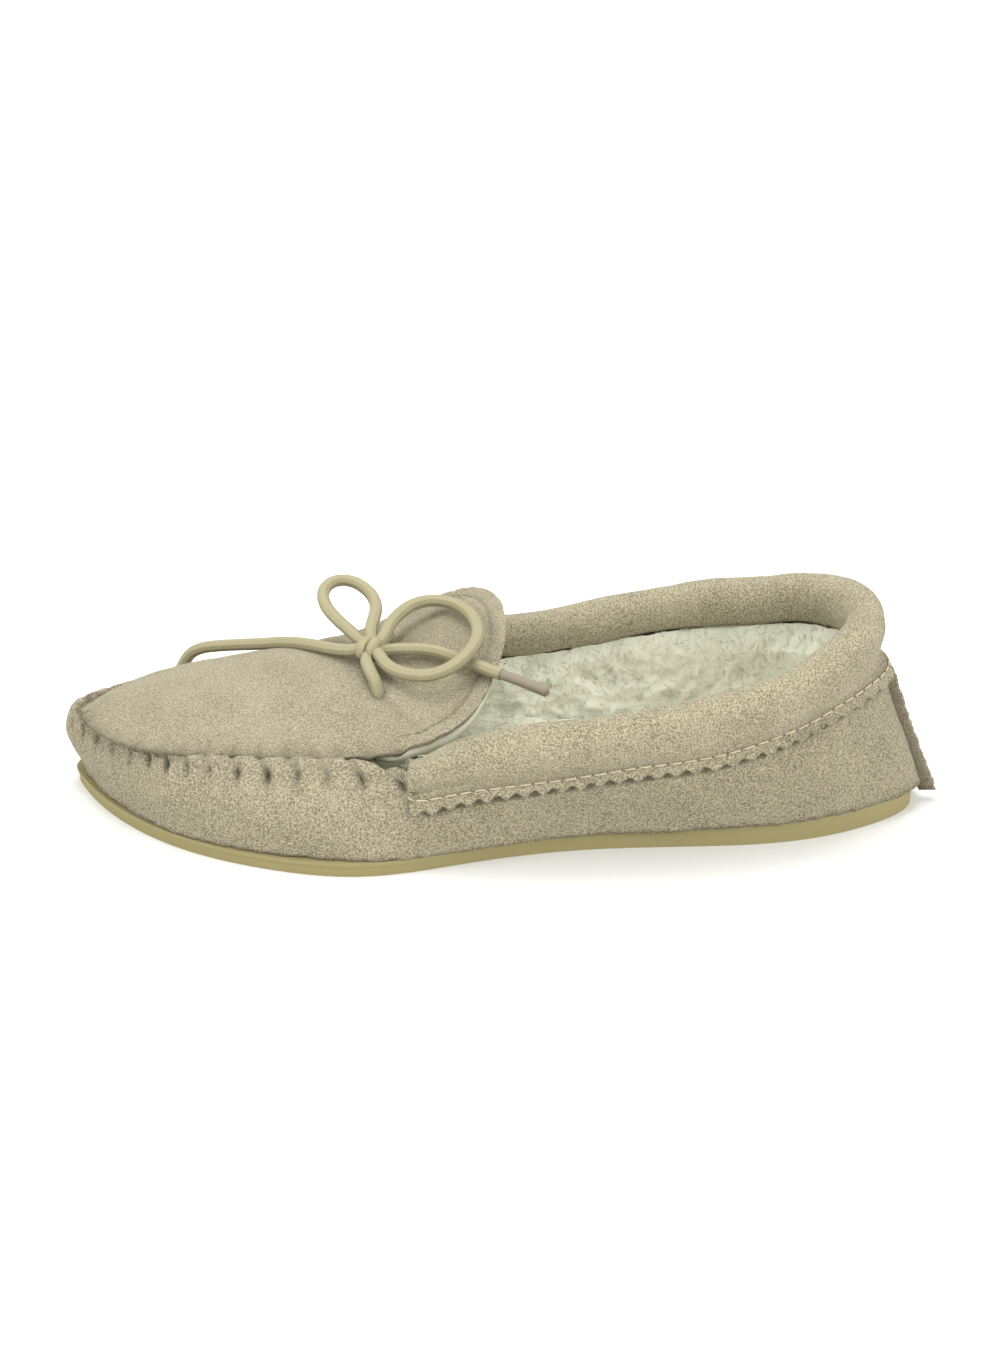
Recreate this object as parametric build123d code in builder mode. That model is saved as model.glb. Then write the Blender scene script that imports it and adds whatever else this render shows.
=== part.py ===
from build123d import *
from math import hypot, pi, radians, tan
import os

# A left moccasin slipper, full size, in millimetres.
# +X runs from the toe to the heel, -Y is the outer (little toe) side, +Z is up.
# The origin is on the floor, under the middle of the slipper.

# ---------------------------------------------------------------- driving sizes
SUEDE = 1.6  # thickness of the suede
WOOL = 4.6  # thickness of the pressed wool pile
GAP = 0.12  # room between neighbouring layers
FILLING_GAP = 0.35
SOLE_TOP_FRONT = 5.0  # height of the sole's rim under the ball and toe
SOLE_TOP_HEEL = 7.5  # height of the sole's rim under the heel
LIP_HEIGHT = 1.3
LIP_REACH = 0.6
SOLE_LIP_BOTTOM = 1.0  # lower than the rim's own underside everywhere
FOOTBED_FOAM = 3.0
FOOTBED_PILE = 5.0
OUTER_REACH = 75.0  # half the width of the trimming solids
TRIM_TOP = 90.0  # higher than any part of the slipper
TRIM_SIDE = 200.0
HINGE_X = -32.0  # where the tongue folds away from the apron
HINGE_GAP = 1.2
LACE = 4.0  # diameter of the round braided lace
HOLE = 6.0  # diameter of the lace holes
APRON_WOOL_INSET = 6.5  # from the apron's edge to its wool's
TONGUE_WOOL_INSET = 4.0
LINING_DROP = 3.0  # of the side wool's edge, below the suede's
NEAR_HOLE = (-38.2, -15.3)
FAR_HOLE = (-35.8, 12.3)
KNOT_CENTRE = (-41.0, -1.8, 54.0)
KNOT_RADIUS = 3.9
WHIP_THREAD = 1.3  # thread that gathers the wrap to the apron
WHIP_PITCH = 8.7
WHIP_REACH_IN = 3.4  # from the apron's edge to the stitch's inner end
WHIP_DROP = 2.6  # of the stitch's outer end, below the wrap's edge
WHIP_CROWN = 2.4  # of the stitch's middle, above the seam
STITCH_CLEARANCE = 0.4
WHIP_STITCHES_NEAR = 13  # whip stitches from the toe's tip along the outer side
WHIP_STITCHES_FAR = 10
CUFF_STITCH = (2.9, 0.6, 0.6)  # length, width and height
CUFF_STITCH_PITCH = 4.5
TONGUE_STITCH = (1.7, 0.5, 0.5)
TONGUE_STITCH_PITCH = 2.6
TONGUE_STITCH_INSET = 5.0  # from the tongue's edge
FLAP_DROP = 5.0  # how far the pinked edge hangs below the cuff's stitch line
FLAP_RISE = 1.6
FLAP_FRONT = -27.5

# Outlines run from the toe's tip round the outer side, the heel and the inner side.
SOLE = [
    (-142.5, 8), (-128, -13), (-100, -36), (-70, -48.2), (-42, -52), (-8, -43.8), (30, -36.2), (75, -33.8),
    (117, -22.5), (136.5, -3.5), (119, 16), (80, 27), (40, 24.5), (5, 27), (-30, 39), (-62, 46.5), (-95, 44),
    (-126, 30),
]
UPPER = [
    (2, [
        (-140.8, 8), (-127, -12), (-99.5, -34.6), (-70, -46.8), (-42, -50.4), (-8, -43.8), (30, -37.2),
        (75, -34.2), (118, -21.5), (139.6, -3.5), (120, 15.5), (80, 27.4), (40, 25.5), (5, 28), (-30, 38.3),
        (-62, 45.2), (-95, 42.7), (-125, 28.8),
    ]),
    (17, [
        (-143.6, 7), (-128.5, -14), (-101, -36), (-70, -47), (-42, -49.3), (-8, -45), (30, -40.5),
        (75, -37.5), (115, -24), (134.6, -3.8), (116.5, 17), (79, 31.5), (40, 32), (5, 34), (-30, 40.5),
        (-62, 45.5), (-95, 42.5), (-126, 29),
    ]),
    (27, [
        (-141.5, 6.2), (-127, -13.3), (-100, -34), (-70, -43.2), (-42, -45), (-8, -45.6), (30, -44),
        (74, -40.5), (112, -25.5), (130.4, -4), (113.5, 18), (78, 34.5), (40, 37.8), (5, 38.6), (-30, 40),
        (-62, 41.8), (-95, 38.8), (-124, 26.5),
    ]),
    (34, [
        (-135, 5.2), (-122, -11.8), (-98, -30.5), (-70, -38.6), (-42, -40.6), (-8, -45.8), (30, -45.4),
        (73, -41.8), (109.5, -26.5), (127.4, -4), (111, 18.6), (77, 36), (40, 39.6), (5, 40), (-30, 38.5),
        (-62, 38.2), (-95, 34), (-119, 23),
    ]),
    (46, [
        (-124, 4), (-113, -9), (-92, -24), (-68, -32), (-40, -37), (-6, -44.6), (31, -45), (73, -41),
        (107, -26.8), (123.2, -4), (109.5, 18.5), (76, 36), (40, 40), (6, 39.6), (-28, 37), (-60, 34),
        (-90, 27), (-112, 17),
    ]),
    (60, [
        (-112, 3), (-103, -7), (-85, -18), (-64, -25), (-38, -31), (-5, -40), (31, -42.5), (72, -39.5),
        (105, -26.5), (120.5, -4), (107.5, 18), (75, 34.5), (40, 38), (6, 36), (-27, 32), (-56, 28),
        (-82, 21), (-101, 13),
    ]),
]
# Height of the upper's top edge along X, on the outer and on the inner side: round the apron seam,
# down under the front of the cuff and up to the back of the heel.
EDGE_X = [-150, -136, -122, -104, -84, -60, -42, -36, -31, -26, -16, 2, 22, 42, 62, 82, 96, 108, 122, 150]
EDGE_NEAR = [
    28, 29.5, 31, 31.5, 31.8, 31.3, 31, 29.5, 25, 23.5, 25, 28.6, 31.5, 34.5, 36.5, 41, 45, 49.5, 51.5, 52,
]
EDGE_FAR = [
    27, 28, 29, 31.8, 35, 40, 40, 37, 30, 27, 27.6, 30, 32.8, 37.5, 41.5, 45.2, 48, 50, 51.5, 52,
]

# The apron and tongue form one arched roof: x, then its height at -ROOF_REACH, at 0 and at +ROOF_REACH in y.
ROOF_REACH = 45
ROOF = [
    (-145, 0, 24, 0), (-125, 5, 36, 5), (-110, 17.3, 41, 17.3), (-95, 23.5, 44.4, 23.2),
    (-80, 26.7, 46.5, 27.9), (-60, 26.8, 48.5, 34.9), (-41, 28.3, 49.5, 43.9), (-20, 30.3, 50.5, 57.3),
    (8, 24.5, 51.8, 65),
]
APRON = [
    (-137, 5), (-131, -10), (-119, -23), (-104, -31), (-85, -35.4), (-60, -37.4), (-38, -37.2), (-27, -35.5),
    (-18.5, -31.2), (-10, -24), (-3.5, -13.5), (0.4, 0), (0.6, 11), (-1.6, 21), (-6, 28.5), (-13.5, 33.6),
    (-25, 36), (-42, 36), (-62, 34.8), (-85, 32.8), (-104, 29), (-119, 24), (-130, 16.5), (-136, 10),
]

# The padded collar: x, y, height of its crown, and its depth from the crown to the cuff's stitches.
COLLAR = [
    (-28, -42.8, 34.5, 9.5), (-18.5, -44, 39.5, 12.5), (-8, -44.8, 44.5, 15), (15, -45.2, 49, 16.5),
    (39, -44.6, 52.5, 17), (60, -42.6, 56, 18), (77, -39.6, 60, 18.5), (91, -35.2, 64, 18.5),
    (103, -27, 69, 18.5), (111.5, -15.5, 71.5, 19), (115, -2.5, 72.5, 19.5), (113.3, 10, 72, 19.5),
    (106, 20.3, 70.5, 19), (93, 28.3, 67, 18.5), (76, 34, 63.3, 18.5), (57, 37.4, 59, 17.5),
    (38, 38.8, 54.5, 17), (15, 39.2, 49, 16.5), (-8, 38.6, 46.5, 15), (-18.5, 38, 42.5, 12.5),
    (-28, 37.4, 38, 9.5),
]
COLLAR_HALF_WIDTH = 6.2

# The heel's back seam stands out as a narrow fin: x and z along the heel, from top to bottom.
FIN_LINE = [(121.8, 49.5), (125.4, 40.5), (128.6, 32.5), (132.1, 24.2), (136.2, 15.2), (140.6, 5.2)]
FIN_REACH = 3.6  # how far it stands out behind that line
FIN_ROOT = 5.0  # how far it runs in, before the upper's own shape is cut away
FIN_RAKE = 1.2  # its outer edge sits this much lower
FIN_THICKNESS = 3.0
FIN_Y = -4.0

# Routes of the lace's free stretches.
REAR_LOOP_KNOT_SIDE = [(-37.2, 0.6, 56.6), (-35.4, 7.4, 58.6), (-33.2, 13.6, 59.2)]
REAR_LOOP = [
    (-31.6, 16.4, 59.4), (-28, 21.4, 59.8), (-21.5, 23.4, 60.2), (-14.4, 19.4, 60.4), (-9, 10.8, 60.2),
    (-6.6, 0.4, 59.4), (-7.8, -9.4, 58.8), (-13, -15.6, 55.3), (-20.3, -17.4, 51.4), (-27, -16.2, 50.8),
    (-31.4, -13.9, 50.9),
]
REAR_LOOP_RETURN = [(-32.8, -13.1, 51), (-35.8, -10.6, 52.2), (-38.2, -6.2, 53.9)]
FRONT_LOOP = [
    (-44.4, 1.8, 54.6), (-48.4, 7.8, 55.6), (-53.2, 13.4, 57.2), (-57.6, 19.6, 59.4), (-59.2, 26, 62),
    (-55.8, 31.6, 63.8), (-49.4, 32.4, 63.4), (-43.8, 28.2, 61.4), (-41, 21.8, 60), (-40.4, 14.8, 59.8),
    (-40.8, 8.4, 59.6), (-41.6, 2.8, 57.8),
]
FRONT_END = [
    (-46.2, -2, 53.2), (-53, 2, 53.2), (-61.4, 9.4, 52.2), (-70.6, 18.6, 49.8), (-79.6, 26.6, 46.2),
    (-88.8, 32.4, 44.2), (-97.4, 36, 42.8), (-104.6, 39.2, 39.6), (-109.6, 41.2, 33.4), (-112.8, 41.8, 25.8),
]
REAR_END_KNOT_SIDE = [(-36.2, -1.4, 53.1), (-33.4, -0.9, 53.3)]
REAR_END = [
    (-31.8, -0.6, 53.4), (-22, -0.9, 54), (-13.8, -5.6, 53.9), (-6.4, -10.2, 53.5), (0.4, -13.2, 53.1),
]
NEAR_STRAND = [(-42.6, -6.2, 52), (-41, -11.4, 51), (-38.2, -15.1, 46.8), (-38.2, -15.3, 40.4)]
FAR_STRAND = [(-38.6, 2.6, 52.4), (-36.8, 7.6, 53.8), (-35.8, 12.6, 51.8), (-35.8, 12.7, 45)]
UNDER_STRAND = [(-38.3, -17.6, 36.2), (-35.7, 15.8, 41.4)]
TIP_LENGTH = 17.0
TIP_GAP = 0.02
ROUTE_SHARE = 0.45  # of the shorter run, used by each bend


# ---------------------------------------------------------------- helpers
def direction_along(points, index, closed=True):
    """Unit vector in plan from the point before to the point after."""
    before = points[index - 1] if closed or index else points[0]
    after = points[(index + 1) % len(points)] if closed or index + 1 < len(points) else points[-1]
    run_x, run_y = after[0] - before[0], after[1] - before[1]
    length = hypot(run_x, run_y)
    return run_x / length, run_y / length


def drawn_in(outline, distance):
    """A closed outline with each point moved inwards."""
    moved = []
    for index, (x, y) in enumerate(outline):
        along_x, along_y = direction_along(outline, index)
        moved.append((x - distance * along_y, y + distance * along_x))
    return moved


def prism(outline, distance, bottom, top):
    """The outline, drawn in and made into an upright solid."""
    with BuildPart(mode=Mode.PRIVATE) as body:
        with BuildSketch(Plane.XY.offset(bottom)):
            with BuildLine():
                Spline(*drawn_in(outline, distance), periodic=True)
            make_face()
        extrude(amount=top - bottom)
    return body.part


def bowl(distance):
    """Everything inside the upper's outer surface, drawn in all round."""
    with BuildPart(mode=Mode.PRIVATE) as body:
        for height, outline in UPPER:
            with BuildSketch(Plane.XY.offset(height)):
                with BuildLine():
                    Spline(*drawn_in(outline, distance), periodic=True)
                make_face()
        loft()
    return body.part


def below(heights_near, heights_far, lift, along=EDGE_X):
    """Everything under a surface that is ruled from the outer to the inner side."""
    floor = -20
    with BuildPart(mode=Mode.PRIVATE) as body:
        for y, heights in ((-OUTER_REACH, heights_near), (OUTER_REACH, heights_far)):
            with BuildSketch(Plane.XZ.offset(-y)):
                with BuildLine():
                    top = Spline(*[(x, z + lift) for x, z in zip(along, heights)])
                    Polyline(top @ 1, (along[-1], floor), (along[0], floor), top @ 0)
                make_face()
        loft(ruled=True)
    return body.part


def sole_top(lift):
    """Everything under the sole's rim, which rises from the ball to the heel."""
    along = [-160, -20, 70, 160]
    heights = [SOLE_TOP_FRONT, SOLE_TOP_FRONT, SOLE_TOP_HEEL, SOLE_TOP_HEEL]
    floor = -20
    with BuildPart(mode=Mode.PRIVATE) as body:
        with BuildSketch(Plane.XZ):
            with BuildLine():
                top = Polyline(*[(x, z + lift) for x, z in zip(along, heights)])
                Polyline(top @ 1, (along[-1], floor), (along[0], floor), top @ 0)
            make_face()
        extrude(amount=OUTER_REACH, both=True)
    return body.part


def roof(depth, thickness):
    """A layer of the arched roof, from a depth under its top surface."""
    with BuildPart(mode=Mode.PRIVATE) as body:
        for x, outer, middle, inner in ROOF:
            with BuildSketch(Plane.YZ.offset(x)):
                with BuildLine():
                    arcs = [
                        ThreePointArc((-ROOF_REACH, outer - d), (0, middle - d), (ROOF_REACH, inner - d))
                        for d in (depth, depth + thickness)
                    ]
                    Line(arcs[0] @ 0, arcs[1] @ 0)
                    Line(arcs[0] @ 1, arcs[1] @ 1)
                make_face()
        loft()
    return body.part


def beside_hinge(side):
    """The half space before (-1) or behind (+1) the tongue's fold."""
    centre_x = HINGE_X + side * (TRIM_SIDE + HINGE_GAP) / 2
    with BuildPart(Location((centre_x, 0, 0)), mode=Mode.PRIVATE) as body:
        Box(TRIM_SIDE, TRIM_SIDE, TRIM_SIDE)
    return body.part


def behind_cuff_front():
    """Everything behind the cuff's front edge."""
    with BuildPart(Location((FLAP_FRONT, 0, 0)), mode=Mode.PRIVATE) as body:
        Box(TRIM_SIDE, TRIM_SIDE, TRIM_SIDE, align=(Align.MIN, Align.CENTER, Align.CENTER))
    return body.part


def lace_holes():
    """Upright cylinders through the apron, where the lace comes out."""
    with BuildPart(mode=Mode.PRIVATE) as body:
        with Locations(*[(x, y, TRIM_TOP / 2) for x, y in (NEAR_HOLE, FAR_HOLE)]):
            Cylinder(HOLE / 2, TRIM_TOP / 2)
    return body.part


def sole_lip():
    """The narrow band that stands out round the top of the sole's rim."""
    with BuildPart(mode=Mode.PRIVATE) as body:
        add(prism(SOLE, 0, SOLE_LIP_BOTTOM, 2 * SOLE_TOP_HEEL))
        add(sole_top(0), mode=Mode.INTERSECT)
        add(sole_top(-LIP_HEIGHT), mode=Mode.SUBTRACT)
    return body.part


def inside_wrap():
    """The room inside the suede, above its sole piece."""
    with BuildPart(mode=Mode.PRIVATE) as body:
        add(bowl(SUEDE))
        add(sole_top(SUEDE), mode=Mode.SUBTRACT)
    return body.part


def cuff_flap():
    """The cuff's outer layer, from just above its stitches down to the pinked edge."""
    with BuildPart(mode=Mode.PRIVATE) as body:
        add(bowl(-GAP - SUEDE))
        add(below(EDGE_NEAR, EDGE_FAR, FLAP_RISE), mode=Mode.INTERSECT)
        add(below(EDGE_NEAR, EDGE_FAR, -FLAP_DROP), mode=Mode.SUBTRACT)
        add(bowl(-GAP), mode=Mode.SUBTRACT)
        add(behind_cuff_front(), mode=Mode.INTERSECT)
    return body.part


def collar_tube(distance):
    """The collar's roll, drawn in all round."""
    with BuildPart(mode=Mode.PRIVATE) as body:
        for index, (x, y, crown, depth) in enumerate(COLLAR):
            along_x, along_y = direction_along(COLLAR, index, closed=False)
            middle = COLLAR_HALF_WIDTH * min(1, depth / 15)
            outside = [
                (0.2 * middle, -depth), (0.85 * middle, -0.78 * depth), (middle, -0.42 * depth),
                (0.7 * middle, -0.09 * depth), (0, 0), (-0.72 * middle, -0.1 * depth),
                (-middle, -0.38 * depth), (-0.85 * middle, -0.72 * depth), (-0.35 * middle, -0.95 * depth),
            ]
            plane = Plane(origin=(x, y, crown), x_dir=(along_y, -along_x, 0), z_dir=(-along_x, -along_y, 0))
            with BuildSketch(plane):
                with BuildLine():
                    Spline(*drawn_in(outside, distance), periodic=True)
                make_face()
        loft()
    return body.part


def bend_radii(route):
    """The radius of each bend of a cord, from its two runs and its turn."""
    corners = [Vector(*point) for point in route]
    radii = []
    for before, corner, after in zip(corners, corners[1:], corners[2:]):
        turn = (corner - before).get_angle(after - corner)
        shorter = min((corner - before).length, (after - corner).length)
        radii.append(ROUTE_SHARE * shorter / tan(radians(turn / 2)))
    return radii


def cord_path(route):
    return Line(*route) if len(route) == 2 else FilletPolyline(*route, radius=bend_radii(route))


def cord(name, route, diameter=LACE):
    """A round cord along straight runs joined by arcs."""
    with BuildPart(mode=Mode.PRIVATE) as body:
        with BuildLine() as line:
            cord_path(route)
        with BuildSketch(Plane(origin=line.wire() @ 0, z_dir=line.wire() % 0)):
            Circle(diameter / 2)
        sweep()
    length = line.wire().length
    share = body.part.volume / (length * pi * diameter**2 / 4)
    print(name, "length", round(length, 1), "volume share", round(share, 3))
    print("    radii", [round(radius, 1) for radius in bend_radii(route)])
    return body.part


def tip_route(route):
    """The stiff tip goes straight on from the cord's last run."""
    heading = (Vector(*route[-1]) - Vector(*route[-2])).normalized()
    start = Vector(*route[-1]) + heading * TIP_GAP
    return [start, (start + heading * TIP_LENGTH)]


def first_hit(shape, start, heading):
    """The point where a line from outside first meets a shape, or None."""
    origin = Vector(*start)
    hits = [hit[0] for hit in shape.find_intersection_points(Axis(start, heading))]
    return min(hits, key=lambda point: (point - origin).length) if hits else None


def edge_height(x, y):
    """Height of the upper's top edge."""
    share = (y + OUTER_REACH) / (2 * OUTER_REACH)
    heights = [near + share * (far - near) for near, far in zip(EDGE_NEAR, EDGE_FAR)]
    for x0, x1, z0, z1 in zip(EDGE_X, EDGE_X[1:], heights, heights[1:]):
        if x0 <= x <= x1:
            return z0 + (z1 - z0) * (x - x0) / (x1 - x0)
    return heights[-1]


def spline_through(points, closed):
    """A smooth curve through the points, as one wire."""
    with BuildLine(mode=Mode.PRIVATE) as line:
        Spline(*points, periodic=closed)
    return line.wire()


def whip_stitch(curve, distance):
    """One stitch from the apron's top, over the seam, to the wrap's side."""
    spot = curve.position_at(distance % curve.length, position_mode=PositionMode.LENGTH)
    along = curve.tangent_at(distance % curve.length, position_mode=PositionMode.LENGTH)
    inwards = Vector(-along.Y, along.X, 0)
    radius = WHIP_THREAD / 2
    top = first_hit(apron.part, (spot + inwards * WHIP_REACH_IN + Vector(0, 0, TRIM_TOP)), (0, 0, -1))
    side_start = spot - inwards * TRIM_TOP + Vector(0, 0, edge_height(spot.X, spot.Y) - WHIP_DROP)
    side = first_hit(suede_wrap.part, side_start, inwards)
    inner_end = top + Vector(0, 0, radius + STITCH_CLEARANCE)
    outer_end = side - inwards * (radius + STITCH_CLEARANCE)
    crown_height = max(top.Z, edge_height(spot.X, spot.Y)) + WHIP_CROWN
    crown = Vector((inner_end.X + outer_end.X) / 2, (inner_end.Y + outer_end.Y) / 2, crown_height)
    with BuildPart(mode=Mode.PRIVATE) as body:
        with BuildLine() as line:
            ThreePointArc(inner_end, crown, outer_end)
        with BuildSketch(Plane(origin=inner_end, z_dir=line.wire() % 0)):
            Circle(radius)
        sweep()
    return body.part


def cuff_stitch_planes():
    """Where the cuff's stitches lie, a little above the pinked edge."""
    curve = spline_through([(x, y, 0) for x, y, crown, depth in COLLAR], closed=False)
    planes = []
    for index in range(1, int(curve.length / CUFF_STITCH_PITCH)):
        distance = index * CUFF_STITCH_PITCH
        spot = curve.position_at(distance, position_mode=PositionMode.LENGTH)
        along = curve.tangent_at(distance, position_mode=PositionMode.LENGTH)
        outwards = Vector(along.Y, -along.X, 0)
        start = spot + outwards * TRIM_TOP + Vector(0, 0, edge_height(spot.X, spot.Y))
        hit = first_hit(collar_cuff.part, start, (-outwards))
        if hit:
            lift = CUFF_STITCH[2] / 2 + STITCH_CLEARANCE
            planes.append(Plane(origin=hit + outwards * lift, x_dir=along, z_dir=outwards))
    return planes


def tongue_stitch_planes():
    """Where the tongue's stitches lie, in a row inside its free edge."""
    curve = spline_through([(x, y, 0) for x, y in drawn_in(APRON, TONGUE_STITCH_INSET)], closed=True)
    planes = []
    for index in range(int(curve.length / TONGUE_STITCH_PITCH)):
        ends = []
        for distance in (index * TONGUE_STITCH_PITCH, (index + 0.5) * TONGUE_STITCH_PITCH):
            spot = curve.position_at(distance, position_mode=PositionMode.LENGTH)
            if spot.X > HINGE_X + 2 * TONGUE_STITCH[0]:
                ends.append(first_hit(tongue.part, (spot.X, spot.Y, TRIM_TOP), (0, 0, -1)))
        if len(ends) == 2 and None not in ends:
            along = (ends[1] - ends[0]).normalized()
            lift = TONGUE_STITCH[2] / 2 + 2 * STITCH_CLEARANCE
            up = (Vector(0, 0, 1) - along * along.Z).normalized()
            planes.append(Plane(origin=ends[0] + up * lift, x_dir=along, z_dir=up))
    return planes


def save(part, name):
    part.label = name
    export_step(part, f"parts/{name}.step")


os.makedirs("parts", exist_ok=True)

# ---------------------------------------------------------------- sole and footbed
with BuildPart() as outsole:
    add(prism(SOLE, LIP_REACH, 0, 2 * SOLE_TOP_HEEL))
    add(sole_top(-LIP_HEIGHT), mode=Mode.INTERSECT)
    add(sole_lip())
save(outsole.part, "outsole")

with BuildPart() as suede_wrap:
    add(bowl(0))
    add(below(EDGE_NEAR, EDGE_FAR, 0), mode=Mode.INTERSECT)
    add(sole_top(GAP / 4), mode=Mode.SUBTRACT)
    add(inside_wrap(), mode=Mode.SUBTRACT)
    add(collar_tube(-GAP), mode=Mode.SUBTRACT)
save(suede_wrap.part, "suede_wrap")

cushion_floor = SUEDE + GAP
with BuildPart() as insole_cushion:
    add(bowl(SUEDE + GAP))
    add(sole_top(cushion_floor + FOOTBED_FOAM), mode=Mode.INTERSECT)
    add(sole_top(cushion_floor), mode=Mode.SUBTRACT)
save(insole_cushion.part, "insole_cushion")

pile_floor = cushion_floor + FOOTBED_FOAM + GAP
with BuildPart() as side_lining:
    add(bowl(SUEDE + GAP))
    add(below(EDGE_NEAR, EDGE_FAR, -LINING_DROP), mode=Mode.INTERSECT)
    add(sole_top(pile_floor), mode=Mode.SUBTRACT)
    add(bowl(SUEDE + GAP + WOOL), mode=Mode.SUBTRACT)
save(side_lining.part, "side_lining")

with BuildPart() as insole_pile:
    add(bowl(SUEDE + GAP + WOOL + GAP))
    add(sole_top(pile_floor + FOOTBED_PILE), mode=Mode.INTERSECT)
    add(sole_top(pile_floor), mode=Mode.SUBTRACT)
save(insole_pile.part, "insole_pile")

# ---------------------------------------------------------------- apron and tongue
for layer_name, depth, thickness, inset, side in (
    ("apron", 0, SUEDE, 0, -1),
    ("apron_lining", SUEDE + GAP, WOOL, APRON_WOOL_INSET, -1),
    ("tongue", 0, SUEDE, 0, 1),
    ("tongue_lining", SUEDE + GAP, WOOL, TONGUE_WOOL_INSET, 1),
):
    with BuildPart() as layer:
        add(roof(depth, thickness))
        add(prism(APRON, inset, 0, TRIM_TOP), mode=Mode.INTERSECT)
        add(beside_hinge(side), mode=Mode.INTERSECT)
        if side < 0:
            add(lace_holes(), mode=Mode.SUBTRACT)
    save(layer.part, layer_name)
    if layer_name == "apron":
        apron = layer
    if layer_name == "tongue":
        tongue = layer

# ---------------------------------------------------------------- collar
with BuildPart() as collar_filling:
    add(collar_tube(SUEDE + FILLING_GAP))
save(collar_filling.part, "collar_filling")

with BuildPart() as collar_cuff:
    add(collar_tube(0))
    add(collar_tube(SUEDE), mode=Mode.SUBTRACT)
    add(cuff_flap())
save(collar_cuff.part, "collar_cuff")

# ---------------------------------------------------------------- heel seam
with BuildPart() as heel_seam_fin:
    with BuildSketch(Plane.XZ.offset(-FIN_Y)):
        with BuildLine():
            root = Spline(*[(x - FIN_ROOT, z) for x, z in FIN_LINE])
            edge = Spline(*[(x + FIN_REACH, z - FIN_RAKE) for x, z in FIN_LINE])
            Line(root @ 0, edge @ 0)
            Line(root @ 1, edge @ 1)
        make_face()
    extrude(amount=FIN_THICKNESS / 2, both=True)
    add(bowl(-GAP), mode=Mode.SUBTRACT)
    add(collar_cuff.part, mode=Mode.SUBTRACT)
save(heel_seam_fin.part, "heel_seam_fin")

# ---------------------------------------------------------------- stitches
seam = spline_through([(x, y, 0) for x, y in APRON], closed=True)
with BuildPart() as apron_stitching:
    for number in range(-WHIP_STITCHES_FAR, WHIP_STITCHES_NEAR):
        add(whip_stitch(seam, (number + 0.5) * WHIP_PITCH))
save(apron_stitching.part, "apron_stitching")

with BuildPart() as cuff_stitching:
    with Locations(*cuff_stitch_planes()):
        Box(*CUFF_STITCH)
save(cuff_stitching.part, "cuff_stitching")

with BuildPart() as tongue_stitching:
    with Locations(*tongue_stitch_planes()):
        Box(*TONGUE_STITCH)
save(tongue_stitching.part, "tongue_stitching")

# ---------------------------------------------------------------- lace
strands = {
    "lace_near_strand": NEAR_STRAND,
    "lace_far_strand": FAR_STRAND,
    "lace_under_strand": UNDER_STRAND,
    "lace_front_loop": FRONT_LOOP,
    "lace_front_end": FRONT_END,
    "lace_rear_loop_start": REAR_LOOP_KNOT_SIDE,
    "lace_rear_loop_return": REAR_LOOP_RETURN,
    "lace_rear_end_start": REAR_END_KNOT_SIDE,
    "lace_rear_loop": REAR_LOOP,
    "lace_rear_end": REAR_END,
    "lace_front_tip": tip_route(FRONT_END),
    "lace_rear_tip": tip_route(REAR_END),
}
for strand_name, strand_route in strands.items():
    with BuildPart() as strand:
        add(cord(strand_name, strand_route))
    save(strand.part, strand_name)

with BuildPart() as lace_knot:
    with Locations(KNOT_CENTRE):
        Sphere(KNOT_RADIUS)
save(lace_knot.part, "lace_knot")
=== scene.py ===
import math

import bpy
import numpy as np
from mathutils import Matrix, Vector, noise
from mathutils.bvhtree import BVHTree


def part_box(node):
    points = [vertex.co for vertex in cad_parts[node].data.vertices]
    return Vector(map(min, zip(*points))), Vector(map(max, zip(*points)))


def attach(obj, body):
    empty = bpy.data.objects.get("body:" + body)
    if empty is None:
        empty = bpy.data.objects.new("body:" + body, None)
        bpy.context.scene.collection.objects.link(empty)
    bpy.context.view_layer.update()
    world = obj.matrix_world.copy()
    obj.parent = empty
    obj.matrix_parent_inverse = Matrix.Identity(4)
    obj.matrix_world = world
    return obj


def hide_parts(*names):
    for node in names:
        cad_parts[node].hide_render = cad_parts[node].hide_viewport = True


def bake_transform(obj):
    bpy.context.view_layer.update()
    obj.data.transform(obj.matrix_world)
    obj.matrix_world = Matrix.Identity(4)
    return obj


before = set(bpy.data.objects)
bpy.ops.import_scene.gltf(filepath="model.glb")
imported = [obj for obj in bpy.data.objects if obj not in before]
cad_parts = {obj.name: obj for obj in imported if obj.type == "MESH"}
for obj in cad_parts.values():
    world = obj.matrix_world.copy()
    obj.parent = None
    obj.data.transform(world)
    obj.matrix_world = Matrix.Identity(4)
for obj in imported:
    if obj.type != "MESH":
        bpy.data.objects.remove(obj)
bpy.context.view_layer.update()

bl_info = {
    "name": "Moccasin slipper",
    "version": (1, 0, 0),
    "blender": (4, 5, 0),
    "location": "3D View > Sidebar > Slipper",
    "description": "Builds a wool-lined suede moccasin slipper around its packed frame",
    "category": "Object",
}

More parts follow.
